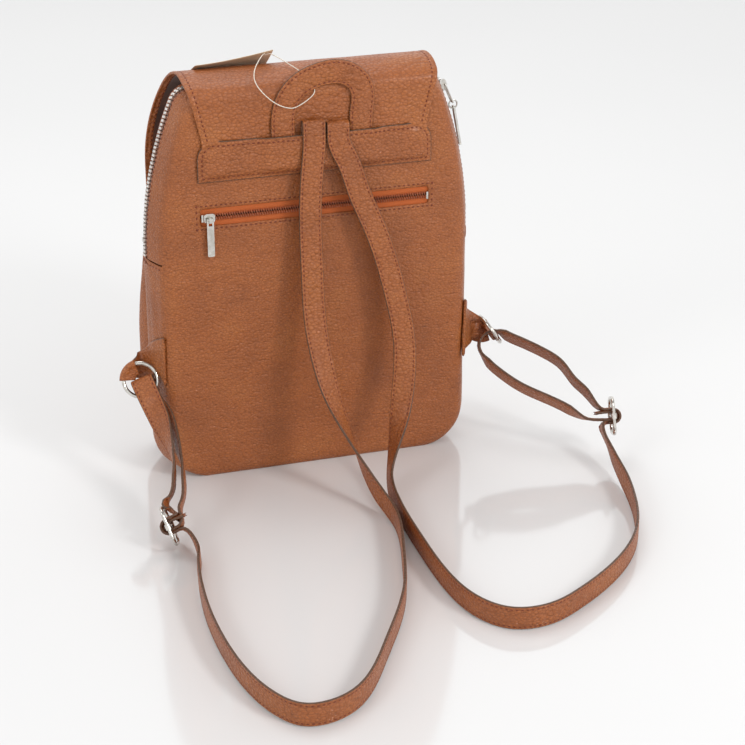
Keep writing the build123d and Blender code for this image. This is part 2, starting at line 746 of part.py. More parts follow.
ring_spots = {      # side: centre, direction to the tab's fold, normal, thickness direction there
    "left": (Vector(*beside((157.0, 19.0, 98.4))), Vector(0.713, -0.470, 0.517), toward),
    "right": (Vector(*beside((-167.5, 12.7, 102.0))), toward * -1, Vector(-0.827, -0.019, 0.559)),
}
tab_stations = {    # side: middle of each cross-section, its width direction and width
    "left": [
        ((136.7, 28.6, 117), (0, 0, 1), tab_seam_w), ((141.3, 18, 116), (0, 0, 1), 32),
        ((145.6, 8, 109.5), (-0.2, 0, 1), 27), ((153, 2.5, 104), (-0.5, -0.1, 0.85), 24),
        ((160.5, 4.8, 104), (-0.647, -0.164, 0.743), 20),
    ],
    "right": [
        ((-136.7, 28.6, 117), (0, 0, 1), tab_seam_w), ((-141.3, 18, 115), (0, 0, 1), 36),
        ((-147.9, 5, 107), (0.15, -0.25, 0.95), 32), ((-158, -3.5, 98), (0.2, -0.3, 0.9), 24),
        ((-164.8, -0.6, 94.2), (0.493, -0.497, 0.712), 20),
    ],
}
for side, (centre, to_fold, normal) in ring_spots.items():
    ring_frame = Plane(centre, x_dir=to_fold, z_dir=normal)
    ring_form = ring_frame * Torus(ring_r, ring_wire_r)
    tunnel = ring_frame * Torus(ring_r, ring_wire_r + ring_gap)
    sleeve = ring_frame * Rot(0, 0, -fold_angle / 2) * Torus(
        ring_r, tab_r, major_angle=fold_angle, align=(Align.NONE, Align.NONE, Align.CENTER)
    )
    with BuildPart() as strap_ring:
        add(ring_form)
    finish(strap_ring, f"ring_{side}")
    stations = [(beside(spot), across, width) for spot, across, width in tab_stations[side]]
    arrive = ring_frame.from_local_coords(Vector(ring_r - 0.5, 0, -(ring_wire_r + ring_gap + 0.2)))
    stations.append((tuple(arrive), tuple(ring_frame.y_dir * (1 if ring_frame.y_dir.Z > 0 else -1)), tab_fold_w))
    middles = [Vector(*spot) for spot, across, width in stations]
    cuts = []
    for i, (spot, across, width) in enumerate(stations):
        ahead = middles[min(i + 1, len(middles) - 1)] - middles[max(i - 1, 0)]
        if i == 0:
            ahead = Vector(ahead.X, ahead.Y, 0)          # square to the seam
        cuts.append((spot, across, tuple(ahead), width, 2 * tab_t))
    tab_form = plates(cuts)
    with BuildPart() as strap_tab:
        add(tab_form)
        add(sleeve)
        add(tunnel, mode=Mode.SUBTRACT)
    finish(strap_tab, f"tab_{side}")

inner_wrap_r = buckle_wire_r + ring_gap + strap_t / 2
outer_wrap_r = inner_wrap_r + strap_t + 0.4
buckle_spots = {    # side: centre, direction in which the strap's bends bulge, which way is up
    "left": (Vector(*beside((160.6, 143.6, 21.3))), Vector(0.926, -0.107, -0.363), -1),
    "right": (Vector(*beside((-254.5, 98.8, 41.9))), Vector(-0.963, 0.264, 0.063), 1),
}
for side, (centre, bulge, up) in buckle_spots.items():
    bulge_frame = Plane(centre, x_dir=bulge, z_dir=toward)
    wire_frame = Plane(centre, x_dir=bulge_frame.y_dir, z_dir=bulge)
    frame_form = wire_loop(wire_frame, 2 * buckle_half_l, 2 * buckle_half_w, buckle_corner_r, buckle_wire_r)
    with BuildPart() as buckle_frame:
        add(frame_form)
    finish(buckle_frame, f"buckle_frame_{side}")
    with BuildPart() as buckle_bar:
        with BuildSketch(Plane(centre - toward * buckle_half_w, z_dir=toward)):
            Circle(buckle_wire_r)
        extrude(amount=2 * buckle_half_w)
        for sign in (-1, 1):
            collar_at = centre + toward * (sign * buckle_half_w) - bulge_frame.y_dir * 2.5
            with BuildSketch(Plane(collar_at, z_dir=bulge_frame.y_dir)):
                Circle(buckle_wire_r + 1.0)
            extrude(amount=5.0)
        for sign in (-1, 1):
            collar_at = centre + toward * (sign * buckle_half_w) - bulge_frame.y_dir * 2.6
            with BuildSketch(Plane(collar_at, z_dir=bulge_frame.y_dir)):
                Circle(buckle_wire_r + frame_gap)
            extrude(amount=5.2, mode=Mode.SUBTRACT)
    finish(buckle_bar, f"buckle_bar_{side}")

# ---------------------------------------------------------------- shoulder straps
root_y = layer_y + strap_t / 2 + 0.1
fall_y = patch_y + patch_t + 0.3 + strap_t / 2
level = (1, 0, 0)
upright = (0, 0, 1)


def strap_root(x, bend_z):
    """Strap from under the patch, up and over its edge; points and width directions."""
    middle = (root_y + fall_y) / 2
    r = (fall_y - root_y) / 2
    points = [(x, root_y, patch_rim_z + 5.0), (x, root_y, mix(patch_rim_z + 5.0, bend_z, 0.6))]
    points += [(x, root_y, bend_z - 4.0), (x, root_y, bend_z)]
    points += [(x, middle - r * cos(radians(a)), bend_z + r * sin(radians(a))) for a in (45, 90, 135)]
    points += [(x, fall_y, bend_z), (x, fall_y, bend_z - 4.0), (x, fall_y + 0.3, patch_rim_z + 26.0)]
    return points, [level] * len(points)


def wrap(side, radius, reach_in, reach_out, rising):
    """Strap round the buckle's bar; rising tells whether it goes from the lower leg to the upper."""
    centre, bulge, up = buckle_spots[side]
    frame = Plane(centre, x_dir=bulge, z_dir=toward)
    start = -up if rising else up
    local = [(-reach_in, start * radius), (0.0, start * radius)]
    local += [(radius * sin(radians(a)), start * radius * cos(radians(a))) for a in (45, 90, 135)]
    local += [(0.0, -start * radius), (-reach_out, -start * radius)]
    return [tuple(frame.from_local_coords(Vector(x, y, 0))) for x, y in local]


side_dir = tuple(toward)
left_fall = [
    ((5.2, 41.0, 290), level), ((8.4, 43.0, 256), level), ((9.3, 44.9, 230), level),
    ((9.6, 48.3, 204), level), ((9.8, 57.5, 153), level), ((7.2, 68.5, 119), (0.95, 0.1, 0.3)),
    ((2.0, 81.5, 90), (0.8, 0.1, 0.6)), ((-7.6, 102.0, 58), (0.5, 0.1, 0.85)),
    ((-16.5, 121.0, 33), (0.2, 0.1, 0.95)), ((-23.5, 137.0, 18), (0.05, 0, 1)),
    ((-28.0, 154.0, 11.6), upright), ((-26.0, 187, 10.9), upright), ((-14, 235, 10.8), upright),
    ((-0.5, 280, 10.8), upright), ((18.4, 321, 10.8), upright), ((40, 359, 10.8), upright),
    ((62, 395, 10.8), upright), ((91, 421, 10.8), upright), ((121, 423, 10.8), upright),
    ((138, 403, 10.8), upright), ((149, 372, 10.8), upright), ((156.5, 316, 10.8), upright),
    ((155.5, 248, 10.8), upright), ((147, 193, 11.0), (0.05, 0.15, 1)), ((143, 167, 11.6), (0.15, 0.5, 0.8)),
]
left_rise = [
    ((158.5, 127.0, 31.0), side_dir), ((154.0, 119.5, 36.5), side_dir), ((148.3, 107.5, 44), side_dir),
    ((144.4, 91, 54), (0.15, 0.85, 0.5)), ((145.2, 72.5, 64), (-0.25, 0.75, 0.6)),
    ((147.7, 53.1, 74), (-0.7, 0.45, 0.5)), ((151.8, 34.0, 86), (-0.9, 0.2, 0.4)),
    ((155.0, 27.2, 95), (-0.924, 0.107, 0.363)), ((156.4, 23.3, 99.3), (-0.924, 0.107, 0.363)),
    ((155.9, 18.9, 99.3), (-0.924, 0.107, 0.363)), ((154.3, 16.4, 96), (-0.924, 0.107, 0.363)),
    ((152.2, 18.5, 90), (-0.924, 0.107, 0.363)), ((149.8, 25.5, 81), (-0.9, 0.2, 0.4)),
    ((143.6, 43, 73.5), (-0.7, 0.45, 0.5)), ((138.8, 66.5, 63), (-0.25, 0.75, 0.6)),
    ((137.3, 89.7, 52), (0.15, 0.85, 0.5)), ((140.0, 108, 42.5), side_dir),
    ((144.0, 121.8, 34), side_dir), ((148.5, 132.5, 27.5), side_dir),
]
right_fall = [
    ((-24.6, 41.0, 288), (1, 0, 0.25)), ((-34, 42.8, 260), (1, 0, 0.3)), ((-43, 44.5, 237), (1, 0, 0.3)),
    ((-51.5, 46.9, 214), (1, 0, 0.25)), ((-63.5, 51.8, 168), (1, 0, 0.1)), ((-70, 59.5, 123), (0.95, 0, -0.2)),
    ((-64, 73, 74), (0.75, -0.2, -0.6)), ((-52, 89.5, 38), (0.4, -0.3, -0.85)),
    ((-41, 112, 17), (0.1, -0.2, -0.97)), ((-37.5, 140, 11.2), (0, 0, -1)), ((-35.5, 172, 10.5), (0, 0, -1)),
    ((-35, 216, 10.4), (0, 0, -1)), ((-37.5, 283, 10.4), (0, 0, -1)), ((-48, 323, 10.4), (0, 0, -1)),
    ((-66, 344, 10.4), (0, 0, -1)), ((-93, 348, 10.4), (0, 0, -1)), ((-128, 333, 10.4), (0, 0, -1)),
    ((-165, 307, 10.4), (0, 0, -1)), ((-197, 275, 10.4), (0, 0, -1)), ((-216, 245, 10.4), (0, 0, -1)),
    ((-231, 205, 10.5), (0, 0, -1)), ((-240, 165, 11.6), (0, -0.2, -1)), ((-243, 133, 17.5), (-0.15, -0.6, -0.75)),
    ((-243.5, 115, 25.5), (-0.266, -0.866, -0.423)),
]
right_rise = [
    ((-237, 79, 58), side_dir), ((-229, 69, 66), side_dir), ((-221, 56, 78), side_dir),
    ((-209, 45, 86), side_dir), ((-190, 30, 94), side_dir), ((-180, 20, 97.5), side_dir),
    ((-173, 15, 100.5), side_dir), ((-168.5, 13.7, 100.3), side_dir), ((-163.5, 12.8, 98.3), side_dir),
    ((-158.5, 13.2, 94), side_dir), ((-156.0, 15.5, 88), side_dir), ((-157.5, 19.5, 81.5), side_dir),
    ((-161.5, 26, 75), side_dir), ((-170, 37, 67.5), (0.3, 0.7, 0.65)), ((-184, 50, 58.5), (0.3, 0.65, 0.7)),
    ((-203, 65, 51), (0.3, 0.65, 0.7)), ((-221, 80, 43.5), (0.28, 0.75, 0.6)), ((-234, 91, 38.2), side_dir),
]


def strap(side, x, bend_z, fall, rise):
    """One shoulder strap from the patch over the floor to its buckle, the ring and back."""
    points, sides = strap_root(x, bend_z)
    points += [beside(point) for point, across in fall]
    sides += [across for point, across in fall]
    flip = -1 if side == "right" else 1
    around = wrap(side, outer_wrap_r, 7.0, 7.0, True)
    points += around
    sides += [tuple(toward * flip)] * len(around)
    points += [beside(point) for point, across in rise]
    sides += [tuple(Vector(*across) * flip) for point, across in rise]
    back = wrap(side, inner_wrap_r, 7.0, 15.0, True)
    points += back
    sides += [tuple(toward * flip)] * len(back)
    return ribbon(points, sides, strap_w, strap_t)


for side, x, bend_z, fall, rise in (
    ("left", left_x, 321.0, left_fall, left_rise), ("right", right_x, 318.0, right_fall, right_rise)
):
    strap_form = strap(side, x, bend_z, fall, rise)
    with BuildPart() as shoulder_strap:
        add(strap_form)
    finish(shoulder_strap, f"shoulder_strap_{side}")

# ---------------------------------------------------------------- hang tag
card_lean = 25.0         # degrees that the card's slope falls towards the front
card_lift = 0.4
card_x = 59.0
slope = radians(card_lean)
card_out = flap_front_r1 + card_lift
card_at = (card_x, -card_out * sin(slope), crest_z - flap_front_r1 + card_out * cos(slope))
card_frame = Plane(card_at, x_dir=(1, 0, 0), z_dir=(0, -sin(slope), cos(slope)))
hole_x = -card_w / 2 + 6.0
hole_y = card_h / 2 - 4.0
with BuildPart() as hang_tag:
    with BuildSketch(card_frame):
        RectangleRounded(card_w, card_h, 1.5)
        with Locations((hole_x, hole_y)):
            Circle(2.0, mode=Mode.SUBTRACT)
    extrude(amount=card_t)
finish(hang_tag, "hang_tag")

hole_out = [tuple(card_frame.from_local_coords(Vector(hole_x - 0.7, hole_y, z))) for z in (-0.6, 3.0)]
hole_in = [tuple(card_frame.from_local_coords(Vector(hole_x + 0.7, hole_y, z))) for z in (3.0, -0.6)]
string_y = layer_y + handle_t + 1.5
string_points = hole_out + [
    (14.0, 14.0, crest_z + 2.6), (-2.0, string_y - 7.3, crest_z - 5.9), (-4.2, string_y - 4.6, 350.3),
    (-3.6, string_y - 2.6, 346.5),
    (3.0, string_y, 341.5), (13.0, string_y + 0.5, 336.0), (22.0, string_y + 0.5, 332.6),
    (34.0, string_y + 0.5, 337.6), (45.0, string_y + 0.3, 349.5), (52.5, string_y - 4.0, 360.0),
    (47.5, 14.0, crest_z + 3.2),
] + hole_in
string_bends = (1.5, 4.0, 3.0, 2.5, 2.5, 2.5, 3.5, 5.0, 7.0, 4.0, 4.0, 4.0, 1.5)
with BuildPart() as tag_string:
    with BuildLine() as string_line:
        FilletPolyline(*string_points, radius=string_bends)
    with BuildSketch(Plane(string_line.line @ 0, z_dir=string_line.line % 0)):
        Circle(string_r)
    sweep()
finish(tag_string, "tag_string")
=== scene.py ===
"""Leather backpack: soft leather, sewing, zips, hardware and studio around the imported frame.

Lengths in this file are millimetres unless a name says otherwise. Blender works in metres, so
meshes are scaled as they are made. The wearer's back is towards +Y and the flap falls down -Y.
"""

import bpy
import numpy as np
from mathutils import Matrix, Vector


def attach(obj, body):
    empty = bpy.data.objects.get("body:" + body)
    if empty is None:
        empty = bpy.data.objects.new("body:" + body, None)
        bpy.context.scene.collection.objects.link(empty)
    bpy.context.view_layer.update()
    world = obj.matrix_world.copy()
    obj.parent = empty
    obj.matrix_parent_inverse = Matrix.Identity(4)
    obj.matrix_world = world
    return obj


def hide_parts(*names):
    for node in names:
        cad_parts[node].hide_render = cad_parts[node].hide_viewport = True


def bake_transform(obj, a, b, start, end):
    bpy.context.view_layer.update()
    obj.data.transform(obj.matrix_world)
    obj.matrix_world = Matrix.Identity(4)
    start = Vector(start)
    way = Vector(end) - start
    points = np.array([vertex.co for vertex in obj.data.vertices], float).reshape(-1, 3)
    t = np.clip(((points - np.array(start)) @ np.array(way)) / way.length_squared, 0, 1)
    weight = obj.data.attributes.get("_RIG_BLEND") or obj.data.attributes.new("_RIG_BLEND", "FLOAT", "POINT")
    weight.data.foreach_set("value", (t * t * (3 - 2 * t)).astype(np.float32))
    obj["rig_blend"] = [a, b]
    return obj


bl_info = {
    "name": "Leather backpack",
    "version": (1, 0, 0),
    "blender": (4, 5, 0),
    "location": "3D View > Sidebar > Backpack",
    "description": "Builds a small leather backpack around its packed frame",
    "category": "Add Mesh",
}

import math

import bmesh
import bpy
import numpy as np
from mathutils import Vector, noise
from mathutils.bvhtree import BVHTree

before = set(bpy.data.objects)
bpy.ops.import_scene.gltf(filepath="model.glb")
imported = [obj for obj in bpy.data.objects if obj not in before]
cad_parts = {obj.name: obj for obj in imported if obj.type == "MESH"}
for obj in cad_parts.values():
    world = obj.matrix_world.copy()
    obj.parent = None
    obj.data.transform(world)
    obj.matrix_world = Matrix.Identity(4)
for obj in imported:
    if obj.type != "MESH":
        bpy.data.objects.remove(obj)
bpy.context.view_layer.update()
MM = 0.001

# Sizes that the leather shares with the frame.
LEATHER = 1.8       # thickness of the bag's leather
BACK_Y = 30.0       # outer face of the back panel, and of the front one on the other side
SEAM_Y = 28.2       # seams between the panels and the gusset
STRIP_Y = 4.9       # edges of the strips beside the main zip
TURN_Z = 204.0      # where the outline's straight side ends and its upper arc starts
PANEL = {"half": 135.0, "side_r": 386.0, "lean": 19.0, "corner": 28.0, "foot": 36.0}
ZIP = {"half": 144.5, "side_r": 350.0, "lean": 23.0, "corner": 18.0, "foot": 36.0}
WINDOW = {"half": 100.5, "low": 237.4, "high": 252.6}
POCKET_ZIP_Z = 245.0
PATCH = {"half": 102.4, "low": 276.5, "top": 312.3, "corner": 16.0}
FLAP = {"foot_half": 98.0, "crest_half": 110.0, "half": 128.0, "widest": 262.0, "hem": 190.0, "corner": 40.0}
FLAP_Y = 32.8       # outer face of the flap behind the bag
CREST_Z = 362.8
CREST_R = 55.0
CARD_X, CARD_LEAN = 59.0, math.radians(25.0)
TOWARD = np.array((0.266, 0.866, 0.423))        # the way both buckle bars point
TOWARD = TOWARD / np.linalg.norm(TOWARD)


# ---------------------------------------------------------------- small helpers
def linear(hex_colour, alpha=1.0):
    """An sRGB hex colour as the linear numbers that shaders take."""
    parts = [int(hex_colour[i:i + 2], 16) / 255 for i in (1, 3, 5)]
    return tuple(c / 12.92 if c <= 0.04045 else ((c + 0.055) / 1.055) ** 2.4 for c in parts) + (alpha,)


def node(tree, kind, links=None, **settings):
    """Adds a node with its settings, and its inputs' values or links by name or number."""
    made = tree.nodes.new(kind)
    for key, value in settings.items():
        setattr(made, key, value)
    for key, value in (links or {}).items():
        socket = made.inputs[key]
        if isinstance(value, bpy.types.NodeSocket):
            tree.links.new(value, socket)
        else:
            socket.default_value = value
    return made


def smooth(t):
    """Soft step from 0 to 1."""
    t = np.clip(t, 0.0, 1.0)
    return t * t * (3 - 2 * t)


def bump(x, middle, spread):
    """Soft hill of height 1."""
    return np.exp(-(((np.asarray(x, float) - middle) / spread) ** 2))


def unit(v):
    v = np.asarray(v, float)
    return v / np.maximum(np.linalg.norm(v, axis=-1, keepdims=True), 1e-9)


def wobble(x, y, z, size, seed=0.0):
    """Smooth noise at each point, from -1 to 1, with hills about that size apart."""
    x, y, z = np.broadcast_arrays(np.asarray(x, float), y, z)
    flat = [
        noise.noise(Vector((a / size + seed, b / size - seed, c / size)))
        for a, b, c in zip(x.ravel(), y.ravel(), z.ravel())
    ]
    return np.array(flat).reshape(x.shape)


def add_object(name, data):
    """A new object in the scene."""
    made = bpy.data.objects.new(name, data)
    bpy.context.scene.collection.objects.link(made)
    return made


def mesh_object(name, points, faces, material_index=None):
    """A smooth mesh object from points in millimetres."""
    mesh = bpy.data.meshes.new(name)
    mesh.from_pydata((np.asarray(points, float).reshape(-1, 3) * MM).tolist(), [], [tuple(f) for f in faces])
    mesh.polygons.foreach_set("use_smooth", [True] * len(mesh.polygons))
    if material_index is not None:
        mesh.polygons.foreach_set("material_index", list(material_index))
    mesh.validate()
    return add_object(name, mesh)


def shown_mesh(obj, layers=False):
    """A new mesh of what the object shows with its modifiers, with all its attributes if layers is set."""
    bpy.context.view_layer.update()
    graph = bpy.context.evaluated_depsgraph_get()
    shown = obj.evaluated_get(graph)
    return bpy.data.meshes.new_from_object(shown, preserve_all_data_layers=layers, depsgraph=graph)


def settle(obj):
    """Applies the object's modifiers, so that it is a plain mesh at the origin."""
    mesh = shown_mesh(obj, layers=True)
    obj.modifiers.clear()
    obj.data = mesh
    return obj


def paint_edge(obj, values):
    """Stores how much edge paint each point carries; on the handle this is painted shade on its side walls.
    """
    edge = obj.data.attributes.new("edge", "FLOAT", "POINT")
    edge.data.foreach_set("value", np.asarray(values, np.float32))


def grid_faces(rows, cols, keep=None, flip=False):
    """Quads of a grid of points, as point numbers."""
    faces = []
    for i in range(rows - 1):
        for j in range(cols - 1):
            if keep is not None and not keep[i][j]:
                continue
            a = i * cols + j
            quad = (a, a + 1, a + cols + 1, a + cols)
            faces.append(quad[::-1] if flip else quad)
    return faces


def leather_sheet(
    name, grid, materials, thickness=LEATHER, keep=None, inside=(0, 0, 190), index=None, levels=1
):
    """Sheet from a grid of points on its face: its thickness grows to the inside, its edges are soft.

    keep leaves out quads of the grid, and index gives each quad its material.
    """
    grid = np.asarray(grid, float)
    rows, cols = grid.shape[:2]
    across, along = np.diff(grid[:-1], axis=1), np.diff(grid[:, :-1], axis=0)
    facing = np.sum(np.cross(across, along) * (grid[:-1, :-1] - inside))
    faces = grid_faces(rows, cols, keep, facing < 0)
    indices = None
    if index is not None:
        spots = [(i, j) for i in range(rows - 1) for j in range(cols - 1) if keep is None or keep[i][j]]
        indices = [index[i][j] for i, j in spots]
    made = mesh_object(name, grid, faces, indices)
    for material in materials:
        made.data.materials.append(material)
    welded = bmesh.new()
    welded.from_mesh(made.data)
    bmesh.ops.remove_doubles(welded, verts=welded.verts, dist=1e-6)
    loose = [v for v in welded.verts if not v.link_faces]
    bmesh.ops.delete(welded, geom=loose, context="VERTS")
    welded.to_mesh(made.data)
    welded.free()
    wall = made.modifiers.new("thickness", "SOLIDIFY")
    wall.thickness = thickness * MM
    wall.offset = -1.0
    wall.use_even_offset = False
    wall.material_offset = 1 if index is not None else 0
    wall.material_offset_rim = 0
    if levels:
        soft = made.modifiers.new("soft edges", "SUBSURF")
        soft.levels = levels
        soft.render_levels = levels
    return settle(made)


def closed_solid(name, rings, materials):
    """Closed skin through rings of equal numbers of points."""
    rings = np.asarray(rings, float)
    count, around = rings.shape[:2]
    faces = []
    for i in range(count - 1):
        for j in range(around):
            k = (j + 1) % around
            faces.append((i * around + j, i * around + k, (i + 1) * around + k, (i + 1) * around + j))
    faces.append(tuple(range(around))[::-1])
    faces.append(tuple((count - 1) * around + j for j in range(around)))
    made = mesh_object(name, rings, faces)
    for material in materials:
        made.data.materials.append(material)
    outward(made)
    return made


def outward(obj):
    """Turns every face of a closed mesh outwards."""
    work = bmesh.new()
    work.from_mesh(obj.data)
    bmesh.ops.recalc_face_normals(work, faces=work.faces)
    work.to_mesh(obj.data)
    work.free()


def half_width(outline, z):
    """Half width of the bag's outline at that height."""
    z = np.asarray(z, float)
    half, side, corner, foot = (outline[key] for key in ("half", "side_r", "corner", "foot"))
    lean = math.radians(outline["lean"])
    cx = half - side + (side - corner) * math.cos(lean)
    cz = TURN_Z + (side - corner) * math.sin(lean)
    low = half - foot + np.sqrt(np.maximum(foot**2 - (foot - z) ** 2, 0))
    bow = half - side + np.sqrt(np.maximum(side**2 - (z - TURN_Z) ** 2, 0))
    top = cx + np.sqrt(np.maximum(corner**2 - (z - cz) ** 2, 0))
    upper = np.where(z < TURN_Z + side * math.sin(lean), bow, top)
    return np.where(z < foot, low, np.where(z < TURN_Z, half, upper))


def top_of(outline):
    """Height of the outline's straight top."""
    lean = math.radians(outline["lean"])
    return TURN_Z + (outline["side_r"] - outline["corner"]) * math.sin(lean) + outline["corner"]


def around_outline(outline, part, counts, start_z=TURN_Z):
    """Points (x, z) and outward directions of half the outline, x > 0: the lower or the upper part."""
    half, corner, foot = outline["half"], outline["corner"], outline["foot"]
    lean = math.radians(outline["lean"])
    spots = []
    if part == "lower":
        for t in np.linspace(0, 1, counts[0], endpoint=False):
            spots.append((t * (half - foot), 0.0, 0.0, -1.0))
        for t in np.linspace(0, 1, counts[1], endpoint=False):
            a = t * math.pi / 2
            out_x, out_z = math.sin(a), -math.cos(a)
            spots.append((half - foot + foot * out_x, foot + foot * out_z, out_x, out_z))
        for t in np.linspace(0, 1, counts[2]):
            spots.append((half, foot + t * (start_z - foot), 1.0, 0.0))
    else:
        a0 = math.asin((start_z - TURN_Z) / outline["side_r"])
        for t in np.linspace(0, 1, counts[0], endpoint=False):
            a = a0 + t * (lean - a0)
            r = outline["side_r"]
            spots.append((half - r + r * math.cos(a), TURN_Z + r * math.sin(a), math.cos(a), math.sin(a)))
        cx = half - outline["side_r"] + (outline["side_r"] - corner) * math.cos(lean)
        cz = TURN_Z + (outline["side_r"] - corner) * math.sin(lean)
        for t in np.linspace(0, 1, counts[1], endpoint=False):
            a = lean + t * (math.pi / 2 - lean)
            spots.append((cx + corner * math.cos(a), cz + corner * math.sin(a), math.cos(a), math.sin(a)))
        for t in np.linspace(0, 1, counts[2]):
            spots.append((cx * (1 - t), cz + corner, 0.0, 1.0))
    return np.array(spots)


def whole(half_spots, part):
    """Both sides of a half outline, from the left end to the right one."""
    mirrored = half_spots * np.array((-1, 1, -1, 1))
    if part == "lower":
        return np.vstack([mirrored[::-1], half_spots[1:]])
    return np.vstack([mirrored, half_spots[::-1][1:]])


def band_grid(part, counts, ys, inset, start_z=TURN_Z):
    """Grid of points over the gusset: the panels' outline at the seams, the zip's in the middle."""
    low = whole(around_outline(PANEL, part, counts, start_z), part)
    mid = whole(around_outline(ZIP, part, counts, start_z), part)
    rows = []
    for y in ys:
        t = np.clip((SEAM_Y - abs(y)) / (SEAM_Y - STRIP_Y), 0, 1)
        share = 0.75 * t + 0.25 * math.sin(t * math.pi / 2)
        spots = low[:, :2] + (mid[:, :2] - low[:, :2]) * share
        out = unit(low[:, 2:] + (mid[:, 2:] - low[:, 2:]) * share)
        drop = inset(y, spots) if callable(inset) else inset
        spots = spots - out * np.reshape(drop, (-1, 1))
        rows.append(np.column_stack([spots[:, 0], np.full(len(spots), float(y)), spots[:, 1]]))
    return np.array(rows)


def columns_across(widths, near, middle):
    """x of every grid point, for rows of those half widths: fixed steps at the edges, even ones between."""
    near = np.asarray(near, float)
    inner = np.linspace(-1, 1, middle + 2)[1:-1]
    rows = []
    for w in widths:
        reach = min(near[-1], 0.4 * w) / near[-1]
        left, right = -w + near * reach, w - near[::-1] * reach
        rows.append(np.concatenate([left, inner * (w - near[-1] * reach), right]))
    return np.array(rows)


def dist_to_line(points, line):
    """Distance of each (a, b) point to a polyline."""
    points = np.asarray(points, float)
    best = np.full(len(points), 1e9)
    for p, q in zip(line[:-1], line[1:]):
        d = q - p
        t = np.clip(((points - p) @ d) / max(d @ d, 1e-9), 0, 1)
        best = np.minimum(best, np.linalg.norm(points - (p + t[:, None] * d), axis=1))
    return best


def cubic_line(points):
    """Natural cubic through the points: returns a function of chord length, and the lengths."""
    points = np.asarray(points, float)
    reach = np.concatenate([[0], np.cumsum(np.linalg.norm(np.diff(points, axis=0), axis=1))])
    n = len(points)
    h = np.diff(reach)
    matrix = np.eye(n)
    right = np.zeros((n, 3))
    for i in range(1, n - 1):
        matrix[i, i - 1:i + 2] = h[i - 1], 2 * (h[i - 1] + h[i]), h[i]
        right[i] = 6 * ((points[i + 1] - points[i]) / h[i] - (points[i] - points[i - 1]) / h[i - 1])
    second = np.linalg.solve(matrix, right)

    def at(u):
        i = int(np.clip(np.searchsorted(reach, u, side="right") - 1, 0, n - 2))
        a, b = (reach[i + 1] - u) / h[i], (u - reach[i]) / h[i]
        spot = a * points[i] + b * points[i + 1]
        return spot + ((a**3 - a) * second[i] + (b**3 - b) * second[i + 1]) * h[i] ** 2 / 6

    return at, reach


def surface_of(obj):
    """The object's surface, for laying seams on it."""
    mesh = obj.data
    return BVHTree.FromPolygons([v.co[:] for v in mesh.vertices], [p.vertices[:] for p in mesh.polygons])


def lay_on(surface, spots, direction, lift=0.0):
    """Spots in millimetres dropped onto a surface: points and normals, None where one misses."""
    direction = Vector(direction).normalized()
    points, normals = [], []
    for spot in spots:
        start = Vector(spot) * MM - direction * 0.06
        hit, normal, _, _ = surface.ray_cast(start, direction)
        if hit is None:
            points.append(None)
            normals.append(None)
            continue
        if normal.dot(direction) > 0:
            normal = -normal
        points.append(np.array(hit) / MM + np.array(normal) * lift)
        normals.append(np.array(normal))
    return points, normals


class Seams:
    """Lines of sewing on one body, gathered into one mesh of edges with the surface's normals."""

    def __init__(self):
        self.points, self.normals, self.edges = [], [], []

    def add(self, points, normals):
        """Adds one line; gaps where a point is missing break it."""
        before = None
        for point, normal in zip(points, normals):
            if point is None:
                before = None
                continue
            self.points.append(point)
            self.normals.append(normal)
            if before is not None:
                self.edges.append((before, len(self.points) - 1))
            before = len(self.points) - 1

    def path(self, name):
        """The lines as an object for Geometry Nodes."""
        mesh = bpy.data.meshes.new(name)
        mesh.from_pydata((np.array(self.points) * MM).tolist(), self.edges, [])
        up = mesh.attributes.new("up", "FLOAT_VECTOR", "POINT")
        up.data.foreach_set("vector", np.array(self.normals, np.float32).ravel())
        return add_object(name, mesh)


